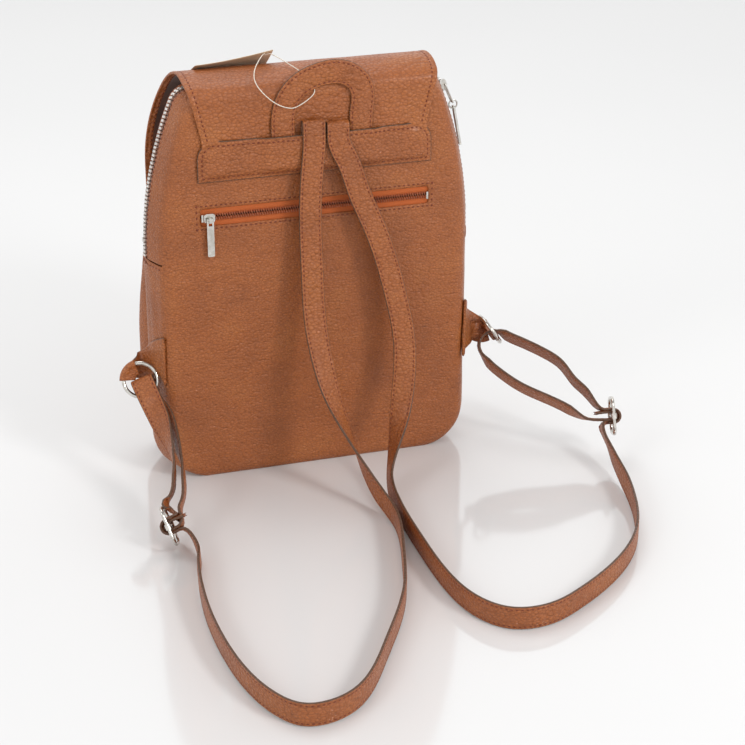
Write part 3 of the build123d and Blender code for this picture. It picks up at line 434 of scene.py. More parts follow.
# ---------------------------------------------------------------- Geometry Nodes
def repeat_tree(name, shape):
    """Tree that sets one shape along lines of edges, its X along the line and Z along the normal."""
    tree = bpy.data.node_groups.new(name, "GeometryNodeTree")
    for label, kind in (
        ("Path", "NodeSocketGeometry"), ("Pitch", "NodeSocketFloat"), ("Length", "NodeSocketFloat"),
        ("Width", "NodeSocketFloat"), ("Height", "NodeSocketFloat"), ("Turn", "NodeSocketFloat"),
        ("Looseness", "NodeSocketFloat"), ("Material", "NodeSocketMaterial"),
    ):
        tree.interface.new_socket(label, in_out="INPUT", socket_type=kind)
    tree.interface.new_socket("Mesh", in_out="OUTPUT", socket_type="NodeSocketGeometry")
    given = node(tree, "NodeGroupInput").outputs
    curve = node(tree, "GeometryNodeMeshToCurve", {"Mesh": given["Path"]})
    even = node(tree, "GeometryNodeResampleCurve", {"Curve": curve.outputs[0]})
    even.mode = "LENGTH"
    tree.links.new(given["Pitch"], even.inputs["Length"])
    size = node(tree, "ShaderNodeCombineXYZ", {0: given["Length"], 1: given["Width"], 2: given["Height"]})
    if shape == "thread":
        body = node(tree, "GeometryNodeMeshUVSphere", {"Segments": 6, "Rings": 4, "Radius": 0.5}).outputs[0]
        quarter = (0.0, math.pi / 2, 0.0)
        body = node(tree, "GeometryNodeTransform", {"Geometry": body, "Rotation": quarter}).outputs[0]
    elif shape == "tooth":
        arm = node(tree, "GeometryNodeMeshCube", {"Size": (0.62, 0.78, 1.0)}).outputs[0]
        moved = {"Geometry": arm, "Translation": (0.0, -0.11, 0.0)}
        arm = node(tree, "GeometryNodeTransform", moved).outputs[0]
        round_bar = {"Vertices": 8, "Radius": 0.46, "Depth": 0.84}
        head = node(tree, "GeometryNodeMeshCylinder", round_bar).outputs[0]
        moved = {"Geometry": head, "Translation": (0.0, 0.26, 0.0), "Scale": (1.0, 0.52, 1.0)}
        head = node(tree, "GeometryNodeTransform", moved).outputs[0]
        joined = node(tree, "GeometryNodeJoinGeometry")
        tree.links.new(arm, joined.inputs[0])
        tree.links.new(head, joined.inputs[0])
        body = joined.outputs[0]
    else:
        body = node(tree, "GeometryNodeMeshUVSphere", {"Segments": 8, "Rings": 6, "Radius": 0.5}).outputs[0]
    piece = node(tree, "GeometryNodeTransform", {"Geometry": body, "Scale": size.outputs[0]})
    tangent = node(tree, "GeometryNodeInputTangent")
    up = node(tree, "GeometryNodeInputNamedAttribute", {"Name": "up"}, data_type="FLOAT_VECTOR")
    along = node(
        tree, "FunctionNodeAlignRotationToVector", {"Vector": tangent.outputs[0]}, axis="X", pivot_axis="AUTO"
    )
    upright = node(
        tree, "FunctionNodeAlignRotationToVector", {"Rotation": along.outputs[0], "Vector": up.outputs[0]},
        axis="Z", pivot_axis="X",
    )
    least = node(tree, "ShaderNodeMath", {0: given["Turn"], 1: given["Looseness"]}, operation="SUBTRACT")
    most = node(tree, "ShaderNodeMath", {0: given["Turn"], 1: given["Looseness"]}, operation="ADD")
    low = node(tree, "ShaderNodeCombineXYZ", {2: least.outputs[0]})
    high = node(tree, "ShaderNodeCombineXYZ", {2: most.outputs[0]})
    loose = node(
        tree, "FunctionNodeRandomValue", {0: low.outputs[0], 1: high.outputs[0], "Seed": 7},
        data_type="FLOAT_VECTOR",
    )
    spun = node(
        tree, "FunctionNodeRotateRotation", {"Rotation": upright.outputs[0], "Rotate By": loose.outputs[0]},
        rotation_space="LOCAL",
    )
    placed = node(
        tree, "GeometryNodeInstanceOnPoints",
        {"Points": even.outputs[0], "Instance": piece.outputs[0], "Rotation": spun.outputs[0]},
    )
    real = node(tree, "GeometryNodeRealizeInstances", {"Geometry": placed.outputs[0]})
    painted = {"Geometry": real.outputs[0], "Material": given["Material"]}
    shaded = node(tree, "GeometryNodeSetMaterial", painted)
    out = node(tree, "NodeGroupOutput", {0: shaded.outputs[0]})
    out.is_active_output = True
    return tree


def repeat_along(name, seams, shape, material, pitch, length, width, height, turn=0.0, looseness=0.0):
    """Plain mesh of one shape repeated along the seams, sizes in millimetres."""
    path = seams.path(name + "_path")
    tree = bpy.data.node_groups.get("repeat " + shape) or repeat_tree("repeat " + shape, shape)
    maker = path.modifiers.new("repeat", "NODES")
    maker.node_group = tree
    values = {
        "Pitch": pitch * MM, "Length": length * MM, "Width": width * MM, "Height": height * MM,
        "Turn": turn, "Looseness": looseness, "Material": material,
    }
    for socket in tree.interface.items_tree:
        if socket.in_out == "INPUT" and socket.name in values:
            maker[socket.identifier] = values[socket.name]
    mesh = shown_mesh(path)
    bpy.data.objects.remove(path)
    if not len(mesh.polygons):
        raise RuntimeError(f"{name}: nothing was set along the seams")
    mesh.polygons.foreach_set("use_smooth", [shape != "tooth"] * len(mesh.polygons))
    for attribute in list(mesh.attributes):
        if attribute.name == "up":
            mesh.attributes.remove(attribute)
    if not mesh.materials:
        mesh.materials.append(material)
    return add_object(name, mesh)


# ---------------------------------------------------------------- materials
def material(name):
    """Material with its tree, its shader and the place of each point; only itself if it was made before."""
    made = bpy.data.materials.get(name)
    if made:
        return made, None, None, None
    made = bpy.data.materials.new(name)
    made.use_nodes = True
    made.node_tree.nodes.clear()
    shader = node(made.node_tree, "ShaderNodeBsdfPrincipled")
    node(made.node_tree, "ShaderNodeOutputMaterial", {"Surface": shader.outputs[0]})
    return made, made.node_tree, shader, node(made.node_tree, "ShaderNodeTexCoord").outputs["Object"]


def join(tree, shader, name, value):
    """Links a value to one of the shader's inputs."""
    tree.links.new(value, shader.inputs[name])


def cloud(tree, place, size, detail=2.0):
    """Noise from 0 to 1 with hills about that many millimetres apart."""
    settings = {"Vector": place, "Scale": 1 / (size * MM), "Detail": detail}
    return node(tree, "ShaderNodeTexNoise", settings).outputs["Fac"]


def rescale(tree, value, low, high, to_low, to_high, **settings):
    """Maps a value from one range to another."""
    given = {0: value, 1: low, 2: high, 3: to_low, 4: to_high}
    return node(tree, "ShaderNodeMapRange", given, **settings).outputs[0]


def relief(tree, height, strength, distance, under=None):
    """Normal raised by a height, its full rise in millimetres, on top of another one."""
    given = {"Strength": strength, "Distance": distance * MM, "Height": height}
    if under is not None:
        given["Normal"] = under
    return node(tree, "ShaderNodeBump", given).outputs[0]


def ramp(tree, value, stops):
    """Colour ramp from (place, colour) stops."""
    made = node(tree, "ShaderNodeValToRGB", {"Fac": value})
    elements = made.color_ramp.elements
    while len(elements) < len(stops):
        elements.new(0.5)
    for element, (place, colour) in zip(elements, stops):
        element.position = place
        element.color = colour
    return made.outputs[0]


def pebbled_leather(name, settings, grain=2.6, depth=1.0, edge=False):
    """Tumbled cowhide, aniline dyed and lightly waxed: soft pebbles, satin sheen, and painted shade that
    darkens the creases between the pebbles.
    """
    made, tree, shader, place = material(name)
    if tree is None:
        return made
    drift = node(tree, "ShaderNodeTexNoise", {"Vector": place, "Scale": 1 / (9.0 * MM), "Detail": 2.0})
    centred = {0: drift.outputs["Color"], 1: (0.5, 0.5, 0.5)}
    centred = node(tree, "ShaderNodeVectorMath", centred, operation="SUBTRACT").outputs[0]
    shift = node(tree, "ShaderNodeVectorMath", {0: centred, "Scale": 3.2 * MM}, operation="SCALE").outputs[0]
    warped = node(tree, "ShaderNodeVectorMath", {0: place, 1: shift}, operation="ADD").outputs[0]
    stretched = node(tree, "ShaderNodeMapping", {"Vector": warped, "Scale": (0.82, 1.0, 1.2)}).outputs[0]

    def cells(spot, size, **settings):
        given = {"Vector": spot, "Scale": 1 / (size * MM)}
        return node(tree, "ShaderNodeTexVoronoi", given, **settings).outputs["Distance"]

    pebble = cells(stretched, grain, feature="DISTANCE_TO_EDGE")
    small = cells(warped, 0.5 * grain, feature="DISTANCE_TO_EDGE")
    middle = cells(stretched, grain)
    square = node(tree, "ShaderNodeMath", {0: middle, 1: middle}, operation="MULTIPLY").outputs[0]
    dome = node(tree, "ShaderNodeMath", {0: square, 1: -1.6, 2: 1.0}, operation="MULTIPLY_ADD").outputs[0]
    broad = cloud(tree, place, 38, 3.0)
    fine = cloud(tree, place, 0.7)
    small = rescale(tree, small, 0.0, 0.3, 0.0, 1.0, interpolation_type="SMOOTHSTEP")
    height = node(tree, "ShaderNodeMath", {0: small, 1: 0.16, 2: dome}, operation="MULTIPLY_ADD").outputs[0]
    height = node(tree, "ShaderNodeMath", {0: fine, 1: 0.10, 2: height}, operation="MULTIPLY_ADD").outputs[0]
    dark, base, light = (linear_of(settings, key) for key in ("leather_dark", "leather", "leather_light"))
    colour = ramp(tree, broad, [(0.30, dark), (0.52, base), (0.78, light)])
    # Painted shade: the crease colour darkens the leather between the pebbles, where their relief would lie
    # in shade.
    layers = [(rescale(tree, pebble, 0.0, 0.24, 0.46, 0.0), "painted_crease_shade")]
    if edge:
        paint = node(tree, "ShaderNodeAttribute", attribute_name="edge").outputs["Fac"]
        layers.append((rescale(tree, paint, 0.55, 0.8, 0.0, 1.0), "edge_paint_and_handle_shade"))
    for amount, key in layers:
        both = {0: amount, 6: colour, 7: linear_of(settings, key)}
        colour = node(tree, "ShaderNodeMix", both, data_type="RGBA").outputs[2]
    join(tree, shader, "Base Color", colour)
    join(tree, shader, "Roughness", rescale(tree, pebble, 0.0, 0.3, 0.6, 0.36))
    folds = node(tree, "ShaderNodeMapping", {"Vector": place, "Scale": (0.4, 1.0, 1.2)}).outputs[0]
    folds = cloud(tree, folds, 10)
    raised = relief(tree, height, 1.0, 0.6 * depth)
    raised = relief(tree, broad, 0.35, 2.0, raised)
    raised = relief(tree, folds, 0.7, 1.6, raised)
    join(tree, shader, "Normal", raised)
    shader.inputs["IOR"].default_value = 1.48
    shader.inputs["Specular IOR Level"].default_value = 0.5
    shader.inputs["Coat Weight"].default_value = 0.16
    shader.inputs["Coat Roughness"].default_value = 0.24
    return made


def linear_of(settings, name):
    """Colour property with its alpha."""
    return (*getattr(settings, name), 1.0)


def suede():
    """Split-leather suede: a brushed nap, matt with a faint sheen at grazing angles."""
    made, tree, shader, place = material("suede lining")
    if tree is None:
        return made
    nap = cloud(tree, place, 1.1, 4.0)
    patch = cloud(tree, place, 22, 2.0)
    both = node(tree, "ShaderNodeMath", {0: nap, 1: 0.6, 2: patch}, operation="MULTIPLY_ADD").outputs[0]
    tone = ramp(tree, both, [(0.45, linear("#3A2015")), (0.8, linear("#5A3421")), (1.0, linear("#6E442C"))])
    join(tree, shader, "Base Color", tone)
    shader.inputs["Roughness"].default_value = 0.95
    shader.inputs["Sheen Weight"].default_value = 0.35
    shader.inputs["Sheen Roughness"].default_value = 0.5
    join(tree, shader, "Normal", relief(tree, nap, 0.6, 0.25))
    return made


def bonded_thread(settings):
    """Bonded polyester thread: tight twist, a little shine."""
    made, tree, shader, place = material("bonded polyester thread")
    if tree is None:
        return made
    twist = cloud(tree, place, 0.6)
    base = linear_of(settings, "thread")
    dark = tuple(c * 0.55 for c in base[:3]) + (1.0,)
    join(tree, shader, "Base Color", ramp(tree, twist, [(0.3, dark), (0.65, base)]))
    shader.inputs["Roughness"].default_value = 0.55
    return made


def nickel():
    """Polished nickel plate on zinc: bright, slightly warm, with faint handling marks."""
    made, tree, shader, place = material("polished nickel plate")
    if tree is None:
        return made
    rub = cloud(tree, place, 4.0, 5.0)
    fine = cloud(tree, place, 0.5, 2.0)
    tone = ramp(tree, rub, [(0.3, linear("#B9B4AC")), (0.7, linear("#DAD7D1"))])
    join(tree, shader, "Base Color", tone)
    join(tree, shader, "Roughness", rescale(tree, rub, 0.3, 0.7, 0.14, 0.26))
    join(tree, shader, "Normal", relief(tree, fine, 0.05, 0.05))
    shader.inputs["Metallic"].default_value = 1.0
    return made


def stamped_aluminium():
    """Stamped and tumbled aluminium zip teeth: pale, satin."""
    made, tree, shader, place = material("tumbled aluminium")
    if tree is None:
        return made
    wear = cloud(tree, place, 1.5, 3.0)
    join(tree, shader, "Base Color", ramp(tree, wear, [(0.3, linear("#E2DFDA")), (0.7, linear("#FBFAF7"))]))
    join(tree, shader, "Roughness", rescale(tree, wear, 0.3, 0.7, 0.24, 0.4))
    shader.inputs["Metallic"].default_value = 1.0
    return made


def woven(name, light, dark, thread=0.5, rough=0.85, sheen=0.15):
    """Woven tape or lining: two sets of threads that cross, their distance in millimetres."""
    made, tree, shader, place = material(name)
    if tree is None:
        return made
    skew = node(tree, "ShaderNodeMapping", {"Vector": place, "Rotation": (0.3, 0.6, 0.5)}).outputs[0]
    scale = 0.314 / (thread * MM)
    warp = {"Vector": skew, "Scale": scale, "Distortion": 0.6}
    warp = node(tree, "ShaderNodeTexWave", warp).outputs["Fac"]
    weft = {"Vector": place, "Scale": scale, "Distortion": 0.4}
    weft = node(tree, "ShaderNodeTexWave", weft, bands_direction="Z").outputs["Fac"]
    cloth = node(tree, "ShaderNodeMath", {0: warp, 1: weft}, operation="MAXIMUM").outputs[0]
    join(tree, shader, "Base Color", ramp(tree, cloth, [(0.35, dark), (0.9, light)]))
    join(tree, shader, "Normal", relief(tree, cloth, 0.5, 0.15))
    shader.inputs["Roughness"].default_value = rough
    shader.inputs["Sheen Weight"].default_value = sheen
    return made


def moulded_nylon():
    """Nylon monofilament coil: dark brown, a soft shine on every turn."""
    made, tree, shader, place = material("nylon coil")
    if tree is None:
        return made
    tint = cloud(tree, place, 2.5)
    join(tree, shader, "Base Color", ramp(tree, tint, [(0.3, linear("#8A4128")), (0.7, linear("#B56A48"))]))
    shader.inputs["Roughness"].default_value = 0.32
    return made


def paper_card():
    """Uncoated kraft-tinted card: pale, matt, with short fibres."""
    made, tree, shader, place = material("uncoated card")
    if tree is None:
        return made
    fibre, stain = cloud(tree, place, 0.8, 5.0), cloud(tree, place, 12)
    both = node(tree, "ShaderNodeMath", {0: fibre, 1: 0.5, 2: stain}, operation="MULTIPLY_ADD").outputs[0]
    join(tree, shader, "Base Color", ramp(tree, both, [(0.5, linear("#DCC9A6")), (1.0, linear("#EFE1C6"))]))
    join(tree, shader, "Normal", relief(tree, fibre, 0.3, 0.05))
    shader.inputs["Roughness"].default_value = 0.8
    return made


def fibreboard():
    """Pressed fibre board inside the base: grey-brown and matt."""
    made, tree, shader, place = material("pressed fibre board")
    if tree is None:
        return made
    speck = cloud(tree, place, 1.2, 6.0)
    join(tree, shader, "Base Color", ramp(tree, speck, [(0.3, linear("#4B4038")), (0.7, linear("#776A5C"))]))
    shader.inputs["Roughness"].default_value = 0.9
    return made


def waxed_cord():
    """Fine waxed cotton string: off-white, slightly fuzzy twist."""
    made, tree, shader, place = material("waxed cotton string")
    if tree is None:
        return made
    twist = cloud(tree, place, 0.5)
    join(tree, shader, "Base Color", ramp(tree, twist, [(0.3, linear("#C9BCAA")), (0.7, linear("#F0E9DE"))]))
    shader.inputs["Roughness"].default_value = 0.6
    return made


# ---------------------------------------------------------------- settings
def colour_setting(name, description, default):
    """A colour that a user can change."""
    return bpy.props.FloatVectorProperty(
        name=name, description=description, default=linear(default)[:3], subtype="COLOR", min=0.0, max=1.0,
        size=3,
    )


def size_setting(name, description, default, least, most):
    """A size in millimetres that a user can change."""
    return bpy.props.FloatProperty(
        name=name, description=description + ", in millimetres", default=default, min=least, max=most
    )


class BackpackFinish(bpy.types.PropertyGroup):
    """Colours and sizes of the backpack's finish."""

    leather: colour_setting("Leather", "Main colour of the leather", "#A55C28")
    leather_light: colour_setting("Light leather", "Leather where the dye is thin", "#AD652E")
    leather_dark: colour_setting("Dark leather", "Leather where the dye is thick", "#9A5525")
    # Painted shade: the colour laid in the creases between the pebbles.
    painted_crease_shade: colour_setting("Creases", "Leather between the pebbles", "#703817")
    # Real edge paint on the straps, patch and tabs; on the handle's side walls the same colour is painted
    # shade.
    edge_paint_and_handle_shade: colour_setting("Edge paint", "Painted edges of the straps", "#5A3D2A")
    thread: colour_setting("Thread", "Sewing thread", "#7A2F0A")
    tape: colour_setting("Zip tape", "Tape of the back pocket's zip", "#C8642A")
    grain: size_setting("Grain", "Size of one pebble of the leather", 3.1, 0.5, 8.0)
    stitch_pitch: size_setting("Stitch pitch", "From one stitch to the next", 4.2, 1.5, 10.0)
    thread_width: size_setting("Thread width", "Width of the sewing thread", 1.4, 0.3, 2.0)
    tooth_pitch: size_setting("Tooth pitch", "From one zip tooth to the next in a row", 3.4, 1.0, 8.0)


def finish_of(context):
    return context.scene.backpack_finish


def leathers(context):
    """The bag's leather and the one with painted edges, whose edge colour on the handle's side walls is
    painted shade.
    """
    settings = finish_of(context)
    return (
        pebbled_leather("fine pebbled cowhide", settings, settings.grain * 0.75, 0.9),
        pebbled_leather("pebbled cowhide with painted edge and handle shade", settings, settings.grain * 0.9, 1.25, edge=True),
    )


def paint_node(name, made):
    """Gives one CAD node a finished material."""
    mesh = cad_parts[name].data
    mesh.materials.clear()
    mesh.materials.append(made)


seams = {}      # sewing gathered by body, until the sewing operator sets its stitches


def sewing(body):
    return seams.setdefault(body, Seams())


# ---------------------------------------------------------------- operators
def panel_heights():
    """Heights of a panel's rows of points: close together at its rounded ends and beside the window."""
    quarter = math.pi / 2
    low = PANEL["foot"] * (1 - np.cos(np.linspace(0, quarter, 13)))
    high = top_of(PANEL) - PANEL["corner"] * (1 - np.cos(np.linspace(0, quarter, 11)))[::-1]
    window = [WINDOW["low"], 241, POCKET_ZIP_Z, 249, WINDOW["high"]]
    below, above = np.linspace(39, 234, 58)[1:], np.linspace(256, high[0], 20)[:-1]
    return np.concatenate([low, below, window, above, high])


def fit_window(xs, zs, widths):
    """Moves one column of points on each side onto the window's end, and the others evenly with it."""
    half = WINDOW["half"]
    column = int(np.argmin(abs(xs[60] - half)))
    here, edge = xs[:, [column]], widths[:, None]
    inside = xs * (half / here)
    beyond = np.sign(xs) * (half + (abs(xs) - here) * ((edge - half) / np.maximum(edge - here, 1e-6)))
    fitted = np.where(abs(xs) <= abs(here), inside, beyond)
    return xs + (fitted - xs) * smooth((zs - 150) / 60)[:, None]


def sew_window(panel):
    """Sews once around the back pocket's window."""
    box = [(-104, 235), (104, 235), (104, 255.5), (-104, 255.5), (-104, 235)]
    skin = surface_of(panel)
    for a, b in zip(box, box[1:]):
        spots = [(a[0] + (b[0] - a[0]) * t, 60, a[1] + (b[1] - a[1]) * t) for t in np.linspace(0, 1, 60)]
        sewing("bag").add(*lay_on(skin, spots, (0, -1, 0), 0.05))


def gusset_dip(y, spots):
    """How far the lower gusset sinks: pulled in at its seams, with long folds up its sides."""
    near_seam = 1.7 * bump(abs(y), SEAM_Y, 2.0)
    z = spots[:, 1]
    folds = 0.9 * bump(y, 9 - 0.02 * z, 3.2) + 0.6 * bump(y, -9, 4.0) + 0.45 * bump(y, 18, 2.6)
    upright = smooth((z - 30) / 40) * (1 - 0.6 * smooth((z - 150) / 50))
    ripple = 0.35 * wobble(spots[:, 0], y, z, 24, 5.0)
    return near_seam + folds * upright + ripple + 0.15


def sew_gusset(gusset):
    """Sews the gusset's upper ends, and tacks the zip's ends with three short bars on each side."""
    skin = surface_of(gusset)
    for sign in (-1, 1):
        spots = [(sign * 200, y, 200.6) for y in np.linspace(-23, 24, 30)]
        sewing("bag").add(*lay_on(skin, spots, (-sign, 0, 0), 0.05))
    for sign in (1, -1):
        for z in (201.8, 200.9, 200.0):
            spots = [(sign * 203.2, y, z) for y in np.linspace(-3.2, 3.2, 8)]
            sewing("bag").add(*lay_on(skin, spots, (-sign, 0, 0), 0.3))


class BACKPACK_OT_body(bpy.types.Operator):
    """Builds the back and front panels and the gusset"""

    bl_idname = "backpack.body"
    bl_label = "Body leather"

    def execute(self, context):
        leather, _ = leathers(context)
        near = (0.0, 1.2, 2.6, 4.4, 6.6, 9.5, 13.0, 18.0)
        zs = panel_heights()
        widths = half_width(PANEL, zs)
        top = top_of(PANEL)
        heights = np.linspace(0, top, 240)
        border = np.array([(0.0, 0.0), *zip(half_width(PANEL, heights), heights), (0.0, top)])
        for name, side in (("back_panel", 1), ("front_panel", -1)):
            xs = fit_window(columns_across(widths, near, 56), zs, widths)
            z = np.repeat(zs[:, None], xs.shape[1], 1)
            d = dist_to_line(np.column_stack([abs(xs).ravel(), z.ravel()]), border).reshape(xs.shape)
            fall = 3.4 * (1 - np.clip(d / 8.0, 0, 1)) ** 2
            soft = 0.55 * wobble(xs, 0, z, 46, 3.1 * side) + 0.25 * wobble(xs, 0, z, 17, 1.7 * side)
            calm = smooth((abs(z - POCKET_ZIP_Z) - 9) / 12) * smooth(d / 20)
            y = side * (BACK_Y - fall + (soft - 0.35) * calm)
            keep = None
            if side > 0:
                slit = bump(abs(xs) - 88 - (z - 4) * 0.9, 0, 2.2) * bump(z, 7.5, 4.5)
                y = y - 1.1 * slit
                mid_x = 0.25 * (xs[:-1, :-1] + xs[1:, :-1] + xs[:-1, 1:] + xs[1:, 1:])
                mid_z = 0.5 * (z[:-1, :-1] + z[1:, :-1])
                keep = (abs(mid_x) >= WINDOW["half"]) | (mid_z <= WINDOW["low"]) | (mid_z >= WINDOW["high"])
            made = leather_sheet(name + "_leather", np.stack([xs, y, z], -1), [leather], keep=keep)
            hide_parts(name)
            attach(made, "bag")
            if side > 0:
                sew_window(made)
        seam_ys = np.array([27.6, 27.0, 26.2, 25.0])
        ys = np.concatenate([seam_ys, np.linspace(23, -23, 26), -seam_ys[::-1]])
        grid = band_grid("lower", (30, 14, 48), ys, gusset_dip)
        made = leather_sheet("lower_gusset_leather", grid, [leather])
        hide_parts("lower_gusset")
        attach(made, "bag")
        sew_gusset(made)
        return {"FINISHED"}


def strip_dip(y, spots):
    """How far the zip's strips sink: pulled in at the seams and turned in along the zip."""
    seam, edge = 1.7 * bump(abs(y), SEAM_Y, 2.0), 1.1 * bump(abs(y), 4.6, 1.5)
    return seam + 0.3 * wobble(spots[:, 0], y, spots[:, 1], 20, 9.0) + 0.1 + edge


class BACKPACK_OT_main_zip(bpy.types.Operator):
    """Builds the zip's leather strips, tapes and teeth"""

    bl_idname = "backpack.main_zip"
    bl_label = "Main zip"

    def execute(self, context):
        settings = finish_of(context)
        leather, _ = leathers(context)
        counts = (34, 12, 26)
        tape_cloth = woven("zip tape", linear("#9A5327"), linear("#5E2E14"))
        for name, sign in (("rear", 1), ("front", -1)):
            ys = (4.6, 5.0, 5.8, 7.0, 8.6, 10.6, 13.0, 16.0, 19.0, 22.0, 24.5, 26.2, 27.0, 27.6)
            ys = sign * np.array(ys)
            grid = band_grid("upper", counts, ys, strip_dip, TURN_Z + 0.6)
            made = leather_sheet(f"zip_strip_{name}_leather", grid, [leather])
            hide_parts(f"zip_strip_{name}")
            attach(made, "bag")
            skin = surface_of(made)
            middle = whole(around_outline(ZIP, "upper", (60, 24, 60), TURN_Z + 3), "upper")
            points, normals = [], []
            for x, z, nx, nz in middle:
                spot = (x + nx * 8, sign * 7.6, z + nz * 8)
                point, normal = lay_on(skin, [spot], (-nx, 0, -nz), 0.05)
                points += point
                normals += normal
            sewing("bag").add(points, normals)
            ys = sign * np.linspace(2.95, 13.8, 8)
            grid = band_grid("upper", counts, ys, 2.12, TURN_Z + 0.6)
            made = leather_sheet(f"main_zip_tape_{name}_cloth", grid, [tape_cloth], thickness=0.5)
            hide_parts(f"main_zip_tape_{name}")
            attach(made, "bag")
        metal = stamped_aluminium()
        middle = whole(around_outline(ZIP, "upper", (160, 60, 160), TURN_Z + 0.8), "upper")
        reach = np.concatenate([[0], np.cumsum(np.linalg.norm(np.diff(middle[:, :2], axis=0), axis=1))])
        rows = Seams()
        for sign in (1, -1):
            start = 0.9 if sign > 0 else 0.9 + settings.tooth_pitch / 2
            places = np.arange(start, reach[-1] - 0.9, 1.0)
            if sign < 0:
                places = places[::-1]
            line = np.column_stack([np.interp(places, reach, middle[:, k]) for k in range(4)])
            points = [np.array((x - nx * 0.75, sign * 1.75, z - nz * 0.75)) for x, z, nx, nz in line]
            normals = [np.array((nx, 0.0, nz)) for x, z, nx, nz in line]
            rows.add(points, normals)
        teeth = repeat_along("main_zip_teeth", rows, "tooth", metal, settings.tooth_pitch, 3.0, 2.9, 2.4)
        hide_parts("main_zip_teeth_rear", "main_zip_teeth_front")
        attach(teeth, "bag")
        tip_x, tip_z, half_y, half_z = -144.4, 196.5, 4.3, 6.5
        rings = []
        for depth, grow in ((0.0, 0.0), (0.5, 0.0), (1.0, -0.3), (1.25, -0.9)):
            ring = []
            for a in np.linspace(0, 2 * math.pi, 28, endpoint=False):
                c, s = math.cos(a), math.sin(a)
                scale = (abs(c) ** 4 + abs(s) ** 4) ** -0.25
                ring.append((tip_x - depth, (half_y + grow) * c * scale, tip_z + (half_z + grow) * s * scale))
            rings.append(ring)
        tip = closed_solid("zip_end_tip_leather", rings, [leather])
        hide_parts("zip_end_tip")
        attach(tip, "bag")
        return {"FINISHED"}


class BACKPACK_OT_back_pocket(bpy.types.Operator):
    """Builds the back pocket's zip tapes, coils and pouch"""

    bl_idname = "backpack.back_pocket"
    bl_label = "Back pocket"

    def execute(self, context):
        settings = finish_of(context)
        tape = linear_of(settings, "tape")
        cloth = woven("herringbone tape", tape, tuple(c * 0.5 for c in tape[:3]) + (1.0,))
        for name, sign in (("upper", 1), ("lower", -1)):
            zs = POCKET_ZIP_Z + sign * np.linspace(0.72, 13.6, 9)
            ys = np.where(abs(zs - POCKET_ZIP_Z) < 3, 27.9, 28.15)
            grid = np.array([[(x, y, z) for x in np.linspace(-105.3, 105.3, 60)] for y, z in zip(ys, zs)])
            made = leather_sheet(f"back_zip_tape_{name}_cloth", grid, [cloth], thickness=0.5)
            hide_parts(f"back_zip_tape_{name}")
            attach(made, "bag")
        rows = Seams()
        for sign in (1, -1):
            ends = np.linspace(-99.4, 98.4, 40) * sign
            line = [np.array((x, 29.3, POCKET_ZIP_Z + sign * 1.5)) for x in ends]
            rows.add(line, [np.array((0.0, 1.0, 0.0))] * len(line))
        coil = repeat_along("back_zip_coil", rows, "turn", moulded_nylon(), 2.1, 1.15, 3.7, 2.0, turn=0.2)
        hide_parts("back_zip_coil_upper", "back_zip_coil_lower")
        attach(coil, "bag")
        lining = woven("cotton lining", linear("#6B4A33"), linear("#3D281B"), 0.6, 0.9)
        half, low, high = 102.6, 135.3, 261.4
        mouth = [240.4, POCKET_ZIP_Z, 249.6, 250.4]
        zs = np.concatenate([np.linspace(low, 239.6, 26), mouth, np.linspace(253, high, 5)])
        xs = np.concatenate([[-half, -101.4], np.linspace(-100, 100, 40), [101.4, half]])
        front, back = [], []
        for z in zs:
            edge = np.minimum(np.minimum(half - abs(xs), z - low), high - z)
            swell = smooth(edge / 7.0)
            front.append([(x, 25.0 + 2.2 * s, z) for x, s in zip(xs, swell)])
            back.append([(x, 24.4 - 2.6 * s, z) for x, s in zip(xs, swell)])
        mid_x, mid_z = (xs[1:] + xs[:-1]) / 2, ((zs[1:] + zs[:-1]) / 2)[:, None]
        keep = (mid_z <= 240) | (mid_z >= 250) | (abs(mid_x) >= WINDOW["half"])
        sheets = [
            leather_sheet("back_pocket_face", front, [lining], 0.5, keep=keep, levels=0),
            leather_sheet("back_pocket_rear", back, [lining], 0.5, inside=(0, 60, 200), levels=0),
        ]
        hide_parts("back_pocket_pouch")
        for made in sheets:
            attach(made, "bag")
        return {"FINISHED"}


def arc(y, z, radius, start, end, count):
    """Points (y, z) along an arc, without the last one."""
    angles = np.linspace(start, end, count, endpoint=False)
    return [(y + radius * math.cos(a), z + radius * math.sin(a)) for a in angles]


def flap_profile():
    """Side view of the flap's face as (y, z) points, from its foot under the patch to the hem."""
    turn, bend, quarter = math.radians(65), math.radians(50), math.pi / 2
    back_r, fall_r = 12.0, 110.0
    turn_y = FLAP_Y - back_r
    crest_r = (FLAP_Y - back_r * (1 - math.cos(turn))) / math.cos(turn)
    turn_z = CREST_Z - crest_r * (1 - math.sin(turn)) - back_r * math.sin(turn)
    fall_y = (fall_r - CREST_R) * math.sin(bend)
    fall_z = CREST_Z - CREST_R - (fall_r - CREST_R) * math.cos(bend)
    line = [(FLAP_Y, z) for z in np.linspace(280.8, turn_z, 30, endpoint=False)]
    line += arc(turn_y, turn_z, back_r, 0, turn, 14)
    line += arc(0, CREST_Z - crest_r, crest_r, turn, quarter, 14)
    line += arc(0, CREST_Z - CREST_R, CREST_R, quarter, quarter + bend, 26)
    line += arc(fall_y, fall_z, fall_r, quarter + bend, math.pi, 34)
    line += [(fall_y - fall_r, z) for z in np.linspace(fall_z, FLAP["hem"], 40)]
    return np.array(line)


def flap_width(y, z):
    """Half width of the flap at a place on its profile."""
    half, corner, crest, foot = (FLAP[key] for key in ("half", "corner", "crest_half", "foot_half"))
    corner_z = FLAP["hem"] + corner
    rear = foot + (crest - foot) * np.clip((z - PATCH["top"]) / (CREST_Z - PATCH["top"]), 0, 1)
    fall = np.clip((CREST_Z - z) / (CREST_Z - FLAP["widest"]), 0, 1)
    upper = crest + (half - crest) * np.sin(fall * math.pi / 2)
    hem = half - corner + np.sqrt(np.maximum(corner**2 - np.clip(corner_z - z, 0, corner) ** 2, 0))
    front = np.where(z < corner_z, hem, np.where(z < FLAP["widest"], half, upper))
    return np.where(np.asarray(y) > 0, rear, front)


